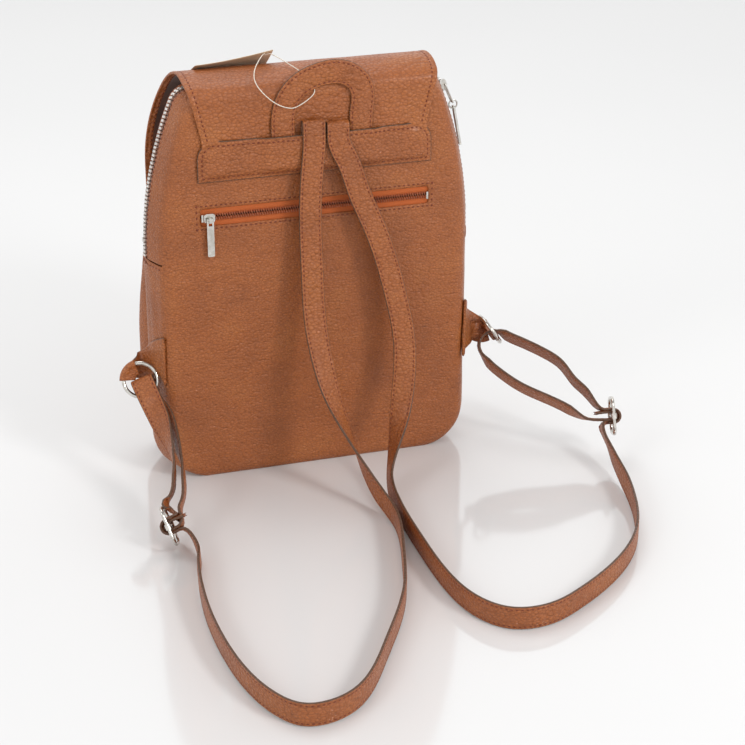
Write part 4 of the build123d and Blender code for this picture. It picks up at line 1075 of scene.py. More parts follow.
def flap_relief(xs, s, d):
    """Height of the flap's groove, soft hills and wrinkles; s runs along the flap, d is in from its edge."""
    groove = (-0.45 * bump(d, 5.0, 0.9) + 0.25 * bump(d, 2.4, 1.6)) * smooth((s - 34) / 8)
    soft = 0.55 * wobble(xs, 0, s, 38, 2.2) + 0.25 * wobble(xs, 0, s, 13, 8.8)
    soft = soft * smooth((s - 60) / 30) * smooth(d / 14)
    waves = np.sin((xs * 0.9 + s * 0.35) * 0.62 + 1.5 * wobble(xs, 0, s, 14, 4.0))
    wrinkle = 0.7 * bump(xs, 48, 34) * bump(s, 52, 17) * waves
    wrinkle = wrinkle + 0.5 * bump(xs, -62, 26) * bump(s, 52, 15) * np.sin((-xs * 0.8 + s * 0.4) * 0.6)
    slump = 0.6 * bump(s, 92, 12) * np.sin(xs * 0.06 + 0.8)
    wrinkle = wrinkle * smooth((s - 33) / 8) * smooth(d / 9)
    return (groove + soft * 0.8 - 0.25 + wrinkle + slump * smooth(d / 16)) * smooth((s - 30) / 10)


def flap_seams(flap, rows, yz, outs, widths):
    """Lines of sewing 5 mm inside the flap's edge, on both faces of each half."""
    skin = surface_of(flap)
    in_from_edge = 5.0
    corner_x, corner_z = FLAP["half"] - FLAP["corner"], FLAP["hem"] + FLAP["corner"]
    sewn_r = FLAP["corner"] - in_from_edge
    gathered = Seams()
    for side in (1, -1):
        for face in (1, -1):
            spots = []
            for s, (y, z), out, width in zip(rows, yz, outs, widths):
                if 33 <= s <= rows[-1] - FLAP["corner"]:
                    spots.append(((side * (width - in_from_edge), y, z), np.array((0, *out)) * face))
            front = np.array((0.0, -face, 0.0))
            for a in np.linspace(0, math.pi / 2, 16):
                x, z = corner_x + sewn_r * math.cos(a), corner_z - sewn_r * math.sin(a)
                spots.append(((side * x, yz[-1, 0], z), front))
            for x in np.linspace(86, 0, 30):
                spots.append(((side * x, yz[-1, 0], FLAP["hem"] + in_from_edge), front))
            points, normals = [], []
            for spot, out in spots:
                hit = skin.ray_cast(Vector((spot + out * 9) * MM), Vector(-out), 0.03)[0]
                if hit is not None:
                    points.append(np.array(hit) / MM + out * 0.05)
                    normals.append(out)
            gathered.add(points, normals)
    return gathered


class BACKPACK_OT_flap(bpy.types.Operator):
    """Builds the flap as one sheet from under the patch to its hem"""

    bl_idname = "backpack.flap"
    bl_label = "Flap"

    def execute(self, context):
        settings = finish_of(context)
        leather = pebbled_leather("pebbled cowhide", settings, settings.grain, 1.1)
        lining = suede()
        line = flap_profile()
        reach = np.concatenate([[0], np.cumsum(np.linalg.norm(np.diff(line, axis=0), axis=1))])
        total = reach[-1]
        hem = total - FLAP["corner"] * (1 - np.cos(np.linspace(0, math.pi / 2, 15)))[::-1]
        rows = np.concatenate([[0, 1.2, 2.6, 4.5], np.linspace(7, hem[0] - 3, 92), hem])
        yz = np.column_stack([np.interp(rows, reach, line[:, k]) for k in range(2)])
        along = unit(np.gradient(yz, rows, axis=0))
        outs = np.column_stack([along[:, 1], -along[:, 0]])
        widths = flap_width(yz[:, 0], yz[:, 1])
        near = (0.0, 0.9, 2.0, 3.4, 4.6, 5.8, 7.4, 10.0, 14.0, 20.0)
        xs = columns_across(widths, near, 46)
        s = np.repeat(rows[:, None], xs.shape[1], 1)
        outline = np.array([*zip(widths, rows), (0.0, total)])
        d = dist_to_line(np.column_stack([abs(xs).ravel(), s.ravel()]), outline).reshape(xs.shape)
        d = np.where(s < 60, np.minimum(d, 60.0), d)
        lift = flap_relief(xs, s, d)
        y, z = (yz[:, [k]] + outs[:, [k]] * lift for k in range(2))
        inner = 0.25 * (d[:-1, :-1] + d[1:, :-1] + d[:-1, 1:] + d[1:, 1:])
        index = np.where(inner < 6.4, 2, 0)
        materials = [leather, lining, leather, leather]
        made = leather_sheet("flap_leather", np.stack([xs, y, z], -1), materials, 2.2, index=index)
        outer = flap_seams(made, rows, yz, outs, widths)
        stitches = repeat_along(
            "flap_stitches", outer, "thread", bonded_thread(settings), settings.stitch_pitch,
            settings.stitch_pitch * 0.62, settings.thread_width, 0.6, looseness=0.06,
        )
        for piece in (made, stitches):
            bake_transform(piece, "bag", "flap", start=(0, 0.010, 0.3626), end=(0, -0.010, 0.3616))
        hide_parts("flap_back", "flap_front")
        return {"FINISHED"}


class BACKPACK_OT_front_pocket(bpy.types.Operator):
    """Builds the front pocket as one soft bowl"""

    bl_idname = "backpack.front_pocket"
    bl_label = "Front pocket"

    def execute(self, context):
        leather, _ = leathers(context)
        at = np.array([0.3, 6.0, 12.0, 18.0, 23.0, 26.5, 28.6, 29.6, 30.0])
        half = np.array([136.0, 140.2, 143.5, 144.6, 142.8, 139.6, 135.0, 129.5, 124.0])
        foot = np.array([0.6, 1.4, 2.9, 5.0, 8.0, 11.6, 16.2, 21.0, 26.0])
        round_r = np.array([36.0, 36.6, 37.6, 38.6, 40.4, 42.2, 43.4, 44.0, 44.0])
        grow = np.linspace(0, 124, 40)[1:]
        at = np.concatenate([at, np.full(len(grow), at[-1])])
        half = np.concatenate([half, half[-1] - grow])
        foot = np.concatenate([foot, foot[-1] + grow])
        round_r = np.concatenate([round_r, np.maximum(round_r[-1] - grow, 2.0)])
        rows = []
        for depth, h, f, r in zip(at, half, foot, round_r):
            r = min(r, max(h, 0.02))
            spots = [(h, z) for z in np.linspace(237.6, f + r, 46, endpoint=False)]
            turn = np.linspace(0, math.pi / 2, 16, endpoint=False)
            spots += [(h - r + r * math.cos(a), f + r - r * math.sin(a)) for a in turn]
            spots += [((h - r) * (1 - t), f) for t in np.linspace(0, 1, 24)]
            spots = np.array(spots)
            spots = np.vstack([spots, (spots * np.array((-1, 1)))[::-1][1:]])
            y = np.full(len(spots), -BACK_Y - depth)
            rows.append(np.column_stack([spots[:, 0], y, spots[:, 1]]))
        grid = np.array(rows)
        x, y, z = grid[..., 0], grid[..., 1], grid[..., 2]
        on_face = smooth((at - 20) / 10)[:, None]
        calm = smooth((237 - z) / 25) * smooth(z / 20)
        grid[..., 1] = y + on_face * (0.5 * wobble(x, 0, z, 50, 6.0) + 0.3) * calm
        slim = 1 - 0.075 * smooth((z - 110) / 128)
        grid[..., 0] = x * slim + np.sign(x) * (1 - on_face) * 0.5 * wobble(x, y, z, 30, 1.2) * calm
        made = leather_sheet("front_pocket_leather", grid, [leather], inside=(0, -BACK_Y, 120))
        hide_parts("front_pocket")
        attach(made, "bag")
        skin = surface_of(made)
        spots = [(x, -90, 232.5) for x in np.linspace(-128, 128, 90)]
        sewing("bag").add(*lay_on(skin, spots, (0, 1, 0), 0.05))
        return {"FINISHED"}


def patch_width(z):
    """Half width of the patch at that height."""
    half, top, corner = PATCH["half"], PATCH["top"], PATCH["corner"]
    up = np.clip(np.asarray(z, float) - (top - corner), 0, corner)
    return half - corner + np.sqrt(np.maximum(corner**2 - up**2, 0))


def sew_patch(patch):
    """Sews the patch 4 mm inside its edge, from the middle of its foot up to the middle of its top."""
    half, low, top, corner = (PATCH[key] for key in ("half", "low", "top", "corner"))
    foot_z, side_x, top_z, sewn_r = low + 4, half - 4, top - 4, corner - 4
    corner_x, corner_z = half - corner, top - corner
    path = [(0, foot_z)] + [(w, foot_z) for w in np.linspace(2, side_x, 60)]
    path += [(side_x, h) for h in np.linspace(282, corner_z, 10)]
    turn = np.linspace(0.1, math.pi / 2, 12)
    path += [(corner_x + sewn_r * math.cos(a), corner_z + sewn_r * math.sin(a)) for a in turn]
    path += [(w, top_z) for w in np.linspace(84, 0, 50)]
    skin = surface_of(patch)
    for sign in (1, -1):
        sewing("bag").add(*lay_on(skin, [(sign * x, 80, z) for x, z in path], (0, -1, 0), 0.05))


HANDLE_HALF = 10.4
HANDLE_LINE = [
    (28.9, 284.5), (28.9, 298.0), (28.9, 313.0), (27.8, 334.0), (14.5, 354.5), (-1.0, 361.6), (-18.2, 363.4),
    (-32.5, 357.5), (-40.0, 344.5), (-39.4, 330.0), (-38.4, 313.0), (-38.4, 298.0), (-38.4, 284.5),
]


def handle_section(crown):
    """Section of the handle, its top padded: (share of its half width, height, edge paint, which on the
    handle's side walls is painted shade).
    """
    half_top = [
        (1.0, 0.0, 1.0), (0.985, 0.6, 0.9), (0.93, 1.15, 0.2), (0.84, 1.42, 0), (0.74, 1.32, 0),
        (0.62, 1.5 + 0.4 * crown, 0), (0.3, 1.5 + crown, 0),
    ]
    half_under = [(0.985, -0.6, 0.9), (0.93, -1.1, 0.2), (0.8, -1.35, 0), (0.3, -1.45, 0)]
    top = [(-a, h, e) for a, h, e in half_top] + [(0.0, 1.5 + crown, 0)] + half_top[::-1]
    return top + half_under + [(-a, h, e) for a, h, e in half_under[::-1]]


def build_handle(leather):
    """The handle's padded strip with its sewing, as far as it shows above the patch."""
    at, reach = cubic_line([(x, 34.3, z) for x, z in HANDLE_LINE])
    rings, handle_side_shade = [], []
    lines = {(s, f): ([], []) for s in (1, -1) for f in (1, -1)}
    steps = np.arange(0, reach[-1], 2.2)
    up = np.array((0.0, 1.0, 0.0))
    for u in steps:
        spot = at(u)
        ahead = unit(at(min(u + 0.5, reach[-1])) - at(max(u - 0.5, 0)))
        across = np.array((ahead[2], 0.0, -ahead[0]))
        free = float(smooth((spot[2] - 314) / 14))
        pucker = (0.2 + 0.55 * float(bump(u, 118, 20))) * math.sin(u * 1.25) * free
        ring = []
        for a, h, e in handle_section(0.25 + 0.65 * free):
            rise = h + (pucker * (1 - abs(a)) if h > 0 else 0)
            ring.append(spot + across * (a * HANDLE_HALF) + up * rise)
            handle_side_shade.append(e)
        rings.append(ring)
        for (s, f), (points, normals) in lines.items():
            points.append(spot + across * (s * 0.76 * HANDLE_HALF) + up * f * 1.38)
            normals.append(up * f)
    made = closed_solid("handle_leather", rings, [leather])
    # Painted shade: the edge colour darkens the handle's side walls to give it depth.
    paint_edge(made, handle_side_shade)
    shown = [i for i, u in enumerate(steps) if at(u)[2] > PATCH["top"] + 0.5]
    for points, normals in lines.values():
        sewing("bag").add([points[i] for i in shown], [normals[i] for i in shown])
    return made


class BACKPACK_OT_patch(bpy.types.Operator):
    """Builds the patch that covers the strap ends, and the handle"""

    bl_idname = "backpack.patch"
    bl_label = "Patch and handle"

    def execute(self, context):
        _, edged = leathers(context)
        near = (0.0, 0.8, 1.8, 3.0, 4.2, 5.6, 7.4, 10.0)
        half, low, top, corner = (PATCH[key] for key in ("half", "low", "top", "corner"))
        foot_rows = [low, 277.3, 278.3, 279.5, 280.7, 282.0, 284.0, 286.5, 289.5, 293.0]
        zs = np.concatenate([foot_rows, top - corner * (1 - np.cos(np.linspace(0, math.pi / 2, 13)))[::-1]])
        xs = columns_across(patch_width(zs), near, 80)
        z = np.repeat(zs[:, None], xs.shape[1], 1)
        side = np.array([(0.0, low), (half, low), *zip(patch_width(zs), zs)])
        spots = np.column_stack([abs(xs).ravel(), z.ravel()])
        d = dist_to_line(spots, side).reshape(xs.shape)
        d_top = dist_to_line(spots, np.array([(0.0, top), (half - corner, top)])).reshape(xs.shape)
        under = smooth((xs + 60) / 9) * (1 - smooth((xs - 42) / 9))
        seat, plateau = 31.9, 35.2 + 2.5 * under
        lower = seat + (plateau - seat) * smooth(d / 9.0)
        upper = plateau - (0.9 - 0.8 * under) * bump(d_top, 0, 2.0)
        d_edge = np.minimum(d, d_top)
        crumple = 0.3 * wobble(xs, 0, z, 11, 2.0) + 0.35 * wobble(xs, 0, z, 28, 7.0)
        y = np.minimum(lower, upper) + crumple * smooth(d_edge / 8) - 0.35 * bump(d_edge, 4.0, 1.0)
        made = leather_sheet("patch_leather", np.stack([xs, y, z], -1), [edged], 1.5)
        co = np.array([v.co[:] for v in made.data.vertices]) / MM
        far = dist_to_line(np.column_stack([abs(co[:, 0]), co[:, 2]]), np.vstack([side, (0.0, top)]))
        paint_edge(made, 1 - np.clip(far / 2.4, 0, 1))
        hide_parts("patch")
        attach(made, "bag")
        sew_patch(made)
        made = build_handle(edged)
        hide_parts("handle")
        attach(made, "bag")
        return {"FINISHED"}


STRAP_W, STRAP_T = 20.0, 2.6
LEVEL, UPRIGHT, SIDE = (1, 0, 0), (0, 0, 1), tuple(TOWARD)
LEFT_END, RIGHT_END, TURNED = (-0.924, 0.107, 0.363), (0, 0, -1), (0.2, 0.64, 0.74)
FALLS = {
    "left": [
        ((5.2, 41.0, 290), LEVEL), ((8.4, 43.0, 256), LEVEL), ((9.3, 44.9, 230), LEVEL),
        ((9.6, 48.3, 204), LEVEL), ((9.8, 57.5, 153), LEVEL), ((7.2, 68.5, 119), (0.95, 0.1, 0.3)),
        ((2.0, 81.5, 90), (0.8, 0.1, 0.6)), ((-7.6, 102.0, 58), (0.5, 0.1, 0.85)),
        ((-16.5, 121.0, 33), (0.2, 0.1, 0.95)), ((-23.5, 137.0, 18), (0.05, 0, 1)),
        ((-28.0, 154.0, 11.6), UPRIGHT), ((-26.0, 187, 10.9), UPRIGHT), ((-14, 235, 10.8), UPRIGHT),
        ((-0.5, 280, 10.8), UPRIGHT), ((18.4, 321, 10.8), UPRIGHT), ((40, 359, 10.8), UPRIGHT),
        ((62, 395, 10.8), UPRIGHT), ((91, 421, 10.8), UPRIGHT), ((121, 423, 10.8), UPRIGHT),
        ((138, 403, 10.8), UPRIGHT), ((149, 372, 10.8), UPRIGHT), ((156.5, 316, 10.8), UPRIGHT),
        ((155.5, 248, 10.8), UPRIGHT), ((147, 193, 11.0), (0.05, 0.15, 1)),
        ((143, 167, 11.6), (0.15, 0.5, 0.8)),
    ],
    "right": [
        ((-24.6, 41.0, 288), (1, 0, 0.25)), ((-34, 42.8, 260), (1, 0, 0.3)), ((-43, 44.5, 237), (1, 0, 0.3)),
        ((-51.5, 46.9, 214), (1, 0, 0.25)), ((-63.5, 51.8, 168), (1, 0, 0.1)),
        ((-70, 59.5, 123), (0.95, 0, -0.2)), ((-64, 73, 74), (0.75, -0.2, -0.6)),
        ((-52, 89.5, 38), (0.4, -0.3, -0.85)), ((-41, 112, 17), (0.1, -0.2, -0.97)),
        ((-37.5, 140, 11.2), RIGHT_END), ((-35.5, 172, 10.5), RIGHT_END), ((-35, 216, 10.4), RIGHT_END),
        ((-37.5, 283, 10.4), RIGHT_END), ((-48, 323, 10.4), RIGHT_END), ((-66, 344, 10.4), RIGHT_END),
        ((-93, 348, 10.4), RIGHT_END), ((-128, 333, 10.4), RIGHT_END), ((-165, 307, 10.4), RIGHT_END),
        ((-197, 275, 10.4), RIGHT_END), ((-216, 245, 10.4), RIGHT_END), ((-231, 205, 10.5), RIGHT_END),
        ((-240, 165, 11.6), (0, -0.2, -1)), ((-243, 133, 17.5), (-0.15, -0.6, -0.75)),
        ((-243.5, 115, 25.5), (-0.266, -0.866, -0.423)),
    ],
}
RISES = {
    "left": [
        ((158.5, 127.0, 31.0), SIDE), ((154.0, 119.5, 36.5), SIDE), ((148.3, 107.5, 44), SIDE),
        ((144.4, 91, 54), (0.15, 0.85, 0.5)), ((145.2, 72.5, 64), (-0.25, 0.75, 0.6)),
        ((147.7, 53.1, 74), (-0.7, 0.45, 0.5)), ((151.8, 34.0, 86), (-0.9, 0.2, 0.4)),
        ((155.0, 27.2, 95), LEFT_END), ((156.4, 23.3, 99.3), LEFT_END), ((155.9, 18.9, 99.3), LEFT_END),
        ((154.3, 16.4, 96), LEFT_END), ((152.2, 18.5, 90), LEFT_END), ((149.8, 25.5, 81), (-0.9, 0.2, 0.4)),
        ((143.6, 43, 73.5), (-0.7, 0.45, 0.5)), ((138.8, 66.5, 63), (-0.25, 0.75, 0.6)),
        ((137.3, 89.7, 52), (0.15, 0.85, 0.5)), ((140.0, 108, 42.5), SIDE), ((144.0, 121.8, 34), SIDE),
        ((148.5, 132.5, 27.5), SIDE),
    ],
    "right": [
        ((-237, 79, 58), TURNED), ((-229, 69, 66), TURNED), ((-221, 56, 78), TURNED),
        ((-209, 45, 86), TURNED), ((-190, 30, 94), TURNED), ((-180, 20, 97.5), TURNED),
        ((-173, 15, 100.5), SIDE), ((-168.5, 13.7, 100.3), SIDE), ((-163.5, 12.8, 98.3), SIDE),
        ((-158.5, 13.2, 94), SIDE), ((-156.0, 15.5, 88), SIDE), ((-157.5, 19.5, 81.5), SIDE),
        ((-161.5, 26, 75), TURNED), ((-170, 37, 67.5), TURNED), ((-184, 50, 58.5), TURNED),
        ((-203, 65, 51), TURNED), ((-221, 80, 43.5), TURNED), ((-234, 91, 38.2), SIDE),
    ],
}
BUCKLES = {
    "left": ((160.6, 143.6, 21.3), (0.926, -0.107, -0.363), -1),
    "right": ((-254.5, 98.8, 41.9), (-0.963, 0.264, 0.063), 1),
}
ROOTS = {"left": (3.6, 321.0), "right": (-17.4, 318.0)}


def wrap_bar(centre, bulge, start, radius, reach_in, reach_out):
    """Points of a strap's half turn around a buckle's bar, with a straight piece before and after it."""
    across = np.cross(TOWARD, bulge)
    local = [(-reach_in, start * radius), (0.0, start * radius)]
    for a in np.radians((45, 90, 135)):
        local.append((radius * math.sin(a), start * radius * math.cos(a)))
    local += [(0.0, -start * radius), (-reach_out, -start * radius)]
    return [tuple(centre + bulge * a + across * b) for a, b in local]


def strap_route(side):
    """Middle line of one shoulder strap and its width directions."""
    x, bend_z = ROOTS[side]
    foot_z, root_y, fall_y = 285.5, 34.2, 39.4
    middle, r = (root_y + fall_y) / 2, (fall_y - root_y) / 2
    points = [(x, root_y, z) for z in (foot_z, foot_z + (bend_z - foot_z) * 0.6, bend_z - 4.0, bend_z)]
    points += [(x, middle - r * math.cos(a), bend_z + r * math.sin(a)) for a in np.radians((45, 90, 135))]
    points += [(x, fall_y, bend_z), (x, fall_y, bend_z - 4.0), (x, fall_y + 0.3, 306.5)]
    sides = [LEVEL] * len(points)
    points += [p for p, s in FALLS[side]]
    sides += [s for p, s in FALLS[side]]
    flip = -1 if side == "right" else 1
    centre, bulge, up = BUCKLES[side]
    centre, bulge = np.array(centre), unit(bulge)
    around = wrap_bar(centre, bulge, -up, 6.15, 7.0, 7.0)
    points += around
    sides += [tuple(TOWARD * flip)] * len(around)
    points += [p for p, s in RISES[side]]
    sides += [tuple(np.array(s, float) * flip) for p, s in RISES[side]]
    back = wrap_bar(centre, bulge, -up, 3.15, 7.0, 15.0)
    points += back
    sides += [tuple(TOWARD * flip)] * len(back)
    return points, sides


def strap_section():
    """Section of a strap, grooved where it is sewn: (share of its half width, height, edge paint)."""
    half_top = [
        (1.0, 0.0, 1.0), (0.992, 0.62, 1.0), (0.955, 1.06, 0.75), (0.9, 1.26, 0.1), (0.82, 1.24, 0),
        (0.76, 1.08, 0), (0.7, 1.24, 0), (0.5, 1.36, 0),
    ]
    top = [(-a, h, e) for a, h, e in half_top] + [(0.0, 1.42, 0)] + half_top[::-1]
    return top + [(a, -h, e) for a, h, e in top[::-1][1:-1]]


class BACKPACK_OT_straps(bpy.types.Operator):
    """Builds both shoulder straps with their painted edges and two rows of sewing"""

    bl_idname = "backpack.straps"
    bl_label = "Shoulder straps"

    def execute(self, context):
        settings = finish_of(context)
        _, edged = leathers(context)
        section = strap_section()
        half_w, half_t = STRAP_W / 2 - 0.05, STRAP_T / 2 / 1.38
        bare = 42       # length from each root to the end of its bend, without sewing
        for name in ("left", "right"):
            points, sides = strap_route(name)
            at, reach = cubic_line(points)
            sides = np.array(sides, float)
            rings, values = [], []
            lines = {(s, f): ([], []) for s in (1, -1) for f in (1, -1)}
            steps = []
            for i in range(len(reach) - 1):
                count = max(1, round((reach[i + 1] - reach[i]) / 2.8))
                steps += [(i, j / count) for j in range(count)]
            steps.append((len(reach) - 2, 1.0))
            for i, share in steps:
                u = reach[i] + (reach[i + 1] - reach[i]) * share
                spot = at(u)
                ahead = unit(at(min(u + 0.3, reach[-1])) - at(max(u - 0.3, 0)))
                side = sides[i] + (sides[i + 1] - sides[i]) * share
                across = unit(side - ahead * (side @ ahead))
                up = np.cross(ahead, across)
                soft = 0.10 * math.sin(u * 0.9) + 0.08 * math.sin(u * 0.37 + 1.0)
                for a, h, e in section:
                    rise = h + (soft * (1 - a * a) * (1 if h > 0 else -1) if abs(a) < 0.7 else 0)
                    values.append(e)
                    rings.append(spot + across * (a * half_w) + up * rise * half_t)
                if u > bare:
                    for (s, f), (line, normals) in lines.items():
                        line.append(spot + across * (s * 0.76 * STRAP_W / 2) + up * f * 1.08)
                        normals.append(up * f)
            rings = np.array(rings).reshape(len(steps), len(section), 3)
            made = closed_solid(f"shoulder_strap_{name}_leather", rings, [edged])
            paint_edge(made, values)
            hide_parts(f"shoulder_strap_{name}")
            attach(made, "bag")
            sewn = Seams()
            for line, normals in lines.values():
                sewn.add(line, normals)
            stitches = repeat_along(
                f"strap_{name}_stitches", sewn, "thread", bonded_thread(settings), settings.stitch_pitch,
                settings.stitch_pitch * 0.6, settings.thread_width, 0.55, looseness=0.07,
            )
            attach(stitches, "bag")
        return {"FINISHED"}


RINGS = {
    "left": ((157.0, 19.0, 98.4), (0.713, -0.470, 0.517), tuple(TOWARD)),
    "right": ((-167.5, 12.7, 102.0), tuple(-TOWARD), (-0.827, -0.019, 0.559)),
}
TABS = {
    "left": [
        ((136.7, 28.6, 117), (0, 0, 1), 46), ((141.3, 18, 116), (0, 0, 1), 32),
        ((145.6, 8, 109.5), (-0.2, 0, 1), 27), ((153, 2.5, 104), (-0.5, -0.1, 0.85), 24),
        ((160.5, 4.8, 104), (-0.647, -0.164, 0.743), 20),
    ],
    "right": [
        ((-136.7, 28.6, 114), (0, 0, 1), 54), ((-141.3, 18, 112), (0, 0, 1), 46),
        ((-147.9, 5, 106), (0.15, -0.25, 0.95), 36), ((-158, -3.5, 98), (0.2, -0.3, 0.9), 24),
        ((-164.8, -0.6, 94.2), (0.493, -0.497, 0.712), 20),
    ],
}
TAB_SECTION = (
    (-1.0, 0, 1), (-0.97, 0.8, 0.7), (-0.9, 1.3, 0), (-0.6, 1.42, 0), (-0.2, 1.25, 0), (0.2, 1.3, 0),
    (0.6, 1.45, 0), (0.9, 1.3, 0), (0.97, 0.8, 0.7), (1.0, 0, 1), (0.97, -0.8, 0.7), (0.9, -1.3, 0),
    (0.4, -1.42, 0), (-0.4, -1.42, 0), (-0.9, -1.3, 0), (-0.97, -0.8, 0.7),
)
RING_R = 14.6           # middle of a ring's wire from the ring's centre
WIRE_R = 1.7 + 0.35     # half a wire and the room around it
TAB_T = 1.5


def tab_plate(name, centre, fold, normal, leather):
    """The tab from its seam to the ring, crumpled across its width and narrowing to the fold."""
    arrive = centre + fold * (RING_R - 0.5) - normal * (WIRE_R + 0.2)
    last_side = np.cross(normal, fold)
    if last_side[2] <= 0:
        last_side = -last_side
    stations = [*TABS[name], (arrive, last_side, 18)]
    at, reach = cubic_line([p for p, s, w in stations])
    sides = unit(np.array([s for p, s, w in stations], float))
    widths = np.array([w for p, s, w in stations], float)
    rings, values = [], []
    for i in range(len(reach) - 1):
        for share in np.linspace(0, 1, 7, endpoint=i == len(reach) - 2):
            u = reach[i] + (reach[i + 1] - reach[i]) * share
            spot = at(u)
            ahead = unit(at(min(u + 0.3, reach[-1])) - at(max(u - 0.3, 0)))
            side = sides[i] * (1 - share) + sides[i + 1] * share
            across = unit(side - ahead * (side @ ahead))
            up = np.cross(ahead, across)
            width = (widths[i] * (1 - share) + widths[i + 1] * share) / 2
            for a, h, e in TAB_SECTION:
                fold_wave = 0.5 * math.sin(a * 5.0 + i) * (1 - abs(a)) * (1 if abs(h) > 1 else 0)
                rings.append(spot + across * (a * width) + up * (h + fold_wave))
                values.append(e)
    plate = closed_solid(f"tab_{name}_plate", np.reshape(rings, (-1, len(TAB_SECTION), 3)), [leather])
    paint_edge(plate, values)
    return plate


def tab_sleeve(name, centre, fold, normal, leather):
    """The tab's fold around the ring's wire: an outer and an inner skin, the outer one drawn to the plate."""
    third = np.cross(normal, fold)
    half_spread = math.asin(9.0 / RING_R)
    steps, around = 14, 20
    points, faces = [], []
    for a in np.linspace(-half_spread, half_spread, steps):
        out = fold * math.cos(a) + third * math.sin(a)
        spot = centre + out * RING_R
        for r, drawn in ((WIRE_R + TAB_T, 1.0), (WIRE_R, 0.0)):
            for b in np.linspace(0, 2 * math.pi, around, endpoint=False):
                inward = max(-math.cos(b), 0.0) * drawn
                radial = out * math.cos(b) * (1 + 1.9 * inward)
                level = normal * (math.sin(b) * (1 - 0.6 * inward) - 0.65 * inward)
                points.append(spot + (radial + level) * r)

    def number(i, layer, k):
        return (i * 2 + layer) * around + k % around

    last = steps - 1
    for i in range(last):
        for k in range(around):
            faces.append((number(i, 0, k), number(i, 0, k + 1), number(i + 1, 0, k + 1), number(i + 1, 0, k)))
            faces.append((number(i, 1, k + 1), number(i, 1, k), number(i + 1, 1, k), number(i + 1, 1, k + 1)))
    for k in range(around):
        faces.append((number(0, 0, k + 1), number(0, 0, k), number(0, 1, k), number(0, 1, k + 1)))
        faces.append((number(last, 0, k), number(last, 0, k + 1), number(last, 1, k + 1), number(last, 1, k)))
    sleeve = mesh_object(f"tab_{name}_fold", points, faces)
    sleeve.data.materials.append(leather)
    outward(sleeve)
    return sleeve


class BACKPACK_OT_tabs(bpy.types.Operator):
    """Builds the leather tabs that hold the strap rings in the side seams"""

    bl_idname = "backpack.tabs"
    bl_label = "Ring tabs"

    def execute(self, context):
        _, edged = leathers(context)
        for name in ("left", "right"):
            centre, fold, normal = (np.array(v, float) for v in RINGS[name])
            normal = unit(normal)
            fold = unit(fold - normal * (fold @ normal))
            plate = tab_plate(name, centre, fold, normal, edged)
            sleeve = tab_sleeve(name, centre, fold, normal, edged)
            for made in (plate, sleeve):
                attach(made, "bag")
            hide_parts(f"tab_{name}")
        return {"FINISHED"}


class BACKPACK_OT_hardware(bpy.types.Operator):
    """Finishes the rings, buckles, sliders, pulls, snap and board"""

    bl_idname = "backpack.hardware"
    bl_label = "Hardware"

    def execute(self, context):
        bright = nickel()
        for name in (
            "ring_left", "ring_right", "buckle_frame_left", "buckle_frame_right", "buckle_bar_left",
            "buckle_bar_right", "main_zip_slider", "main_zip_link", "main_zip_ring", "main_zip_pull_bar",
            "back_zip_slider", "back_zip_pull", "zip_end_stops", "back_zip_stops", "snap_male", "snap_female",
            "snap_washer",
        ):
            paint_node(name, bright)
        paint_node("base_board", fibreboard())
        lean_y, lean_z, out = math.sin(CARD_LEAN), math.cos(CARD_LEAN), CREST_R + 0.9
        rows = []
        for across in np.linspace(-20, 20, 15):
            row = []
            for along in np.linspace(-34, 34, 25):
                pulled = (0.5 - along / 68) * (0.5 + across / 40)
                lift = 7.0 * pulled**1.5 + 0.8 * (0.5 - along / 68) ** 2 + 0.05
                y = -out * lean_y + across * lean_z - lift * lean_y * 0.5
                row.append((CARD_X + along, y, CREST_Z - CREST_R + out * lean_z + across * lean_y + lift))
            rows.append(row)
        card = leather_sheet("hang_tag_card", rows, [paper_card()], 0.5)
        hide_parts("hang_tag")
        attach(card, "flap")
        return {"FINISHED"}


class BACKPACK_OT_tag_string(bpy.types.Operator):
    """Builds the string that holds the card to the handle"""

    bl_idname = "backpack.tag_string"
    bl_label = "Tag string"

    def execute(self, context):
        out, lean_y, lean_z = CREST_R + 0.4, math.sin(CARD_LEAN), math.cos(CARD_LEAN)
        centre = np.array((CARD_X, -out * lean_y, CREST_Z - CREST_R + out * lean_z))
        x_dir, z_dir = np.array((1.0, 0, 0)), np.array((0, -lean_y, lean_z))
        y_dir = np.cross(z_dir, x_dir)
        pulled = np.array((0.0, -1.0, 5.0))     # about as far as the card's corner is drawn up

        def on_card(x, y, z):
            return tuple(centre + x_dir * x + y_dir * y + z_dir * z + pulled)

        string_y = FLAP_Y + 3.2 + 1.5
        points = [on_card(-28.7, 16.0, z) for z in (-0.6, 3.0)]
        points += [
            (15.0, 14.0, 365.4), (2.0, 30.2, 356.9), (1.0, 32.9, 350.3), (1.4, string_y - 2.6, 346.5),
            (7.5, string_y, 342.5), (14.5, string_y + 0.5, 338.5), (22.0, string_y + 0.5, 335.6),
            (34.0, string_y + 0.5, 340.0), (45.0, string_y + 0.3, 349.5), (52.5, string_y - 4.0, 360.0),
            (47.5, 14.0, 366.0),
        ]
        points += [on_card(-27.3, 16.0, z) for z in (3.0, -0.6)]
        curve = bpy.data.curves.new("tag_string_line", "CURVE")
        curve.dimensions = "3D"
        curve.bevel_resolution = 3
        curve.use_fill_caps = True
        curve.materials.append(waxed_cord())
        spline = curve.splines.new("NURBS")
        spline.points.add(len(points) - 1)
        for point, spot in zip(spline.points, points):
            point.co = (*(c * MM for c in spot), 1.0)
        spline.order_u = 3
        spline.use_endpoint_u = True
        spline.resolution_u = 8
        made = add_object("tag_string_curve", curve)
        line = [tuple(v.co) for v in shown_mesh(made).vertices]
        curve.bevel_depth = 0.4 * MM
        cord = add_object("tag_string_cord", shown_mesh(made))
        bpy.data.objects.remove(made)
        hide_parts("tag_string")
        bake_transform(cord, "bag", "flap", start=(0, 0.018, 0.3628), end=(0, -0.006, 0.3628))
        return {"FINISHED"}


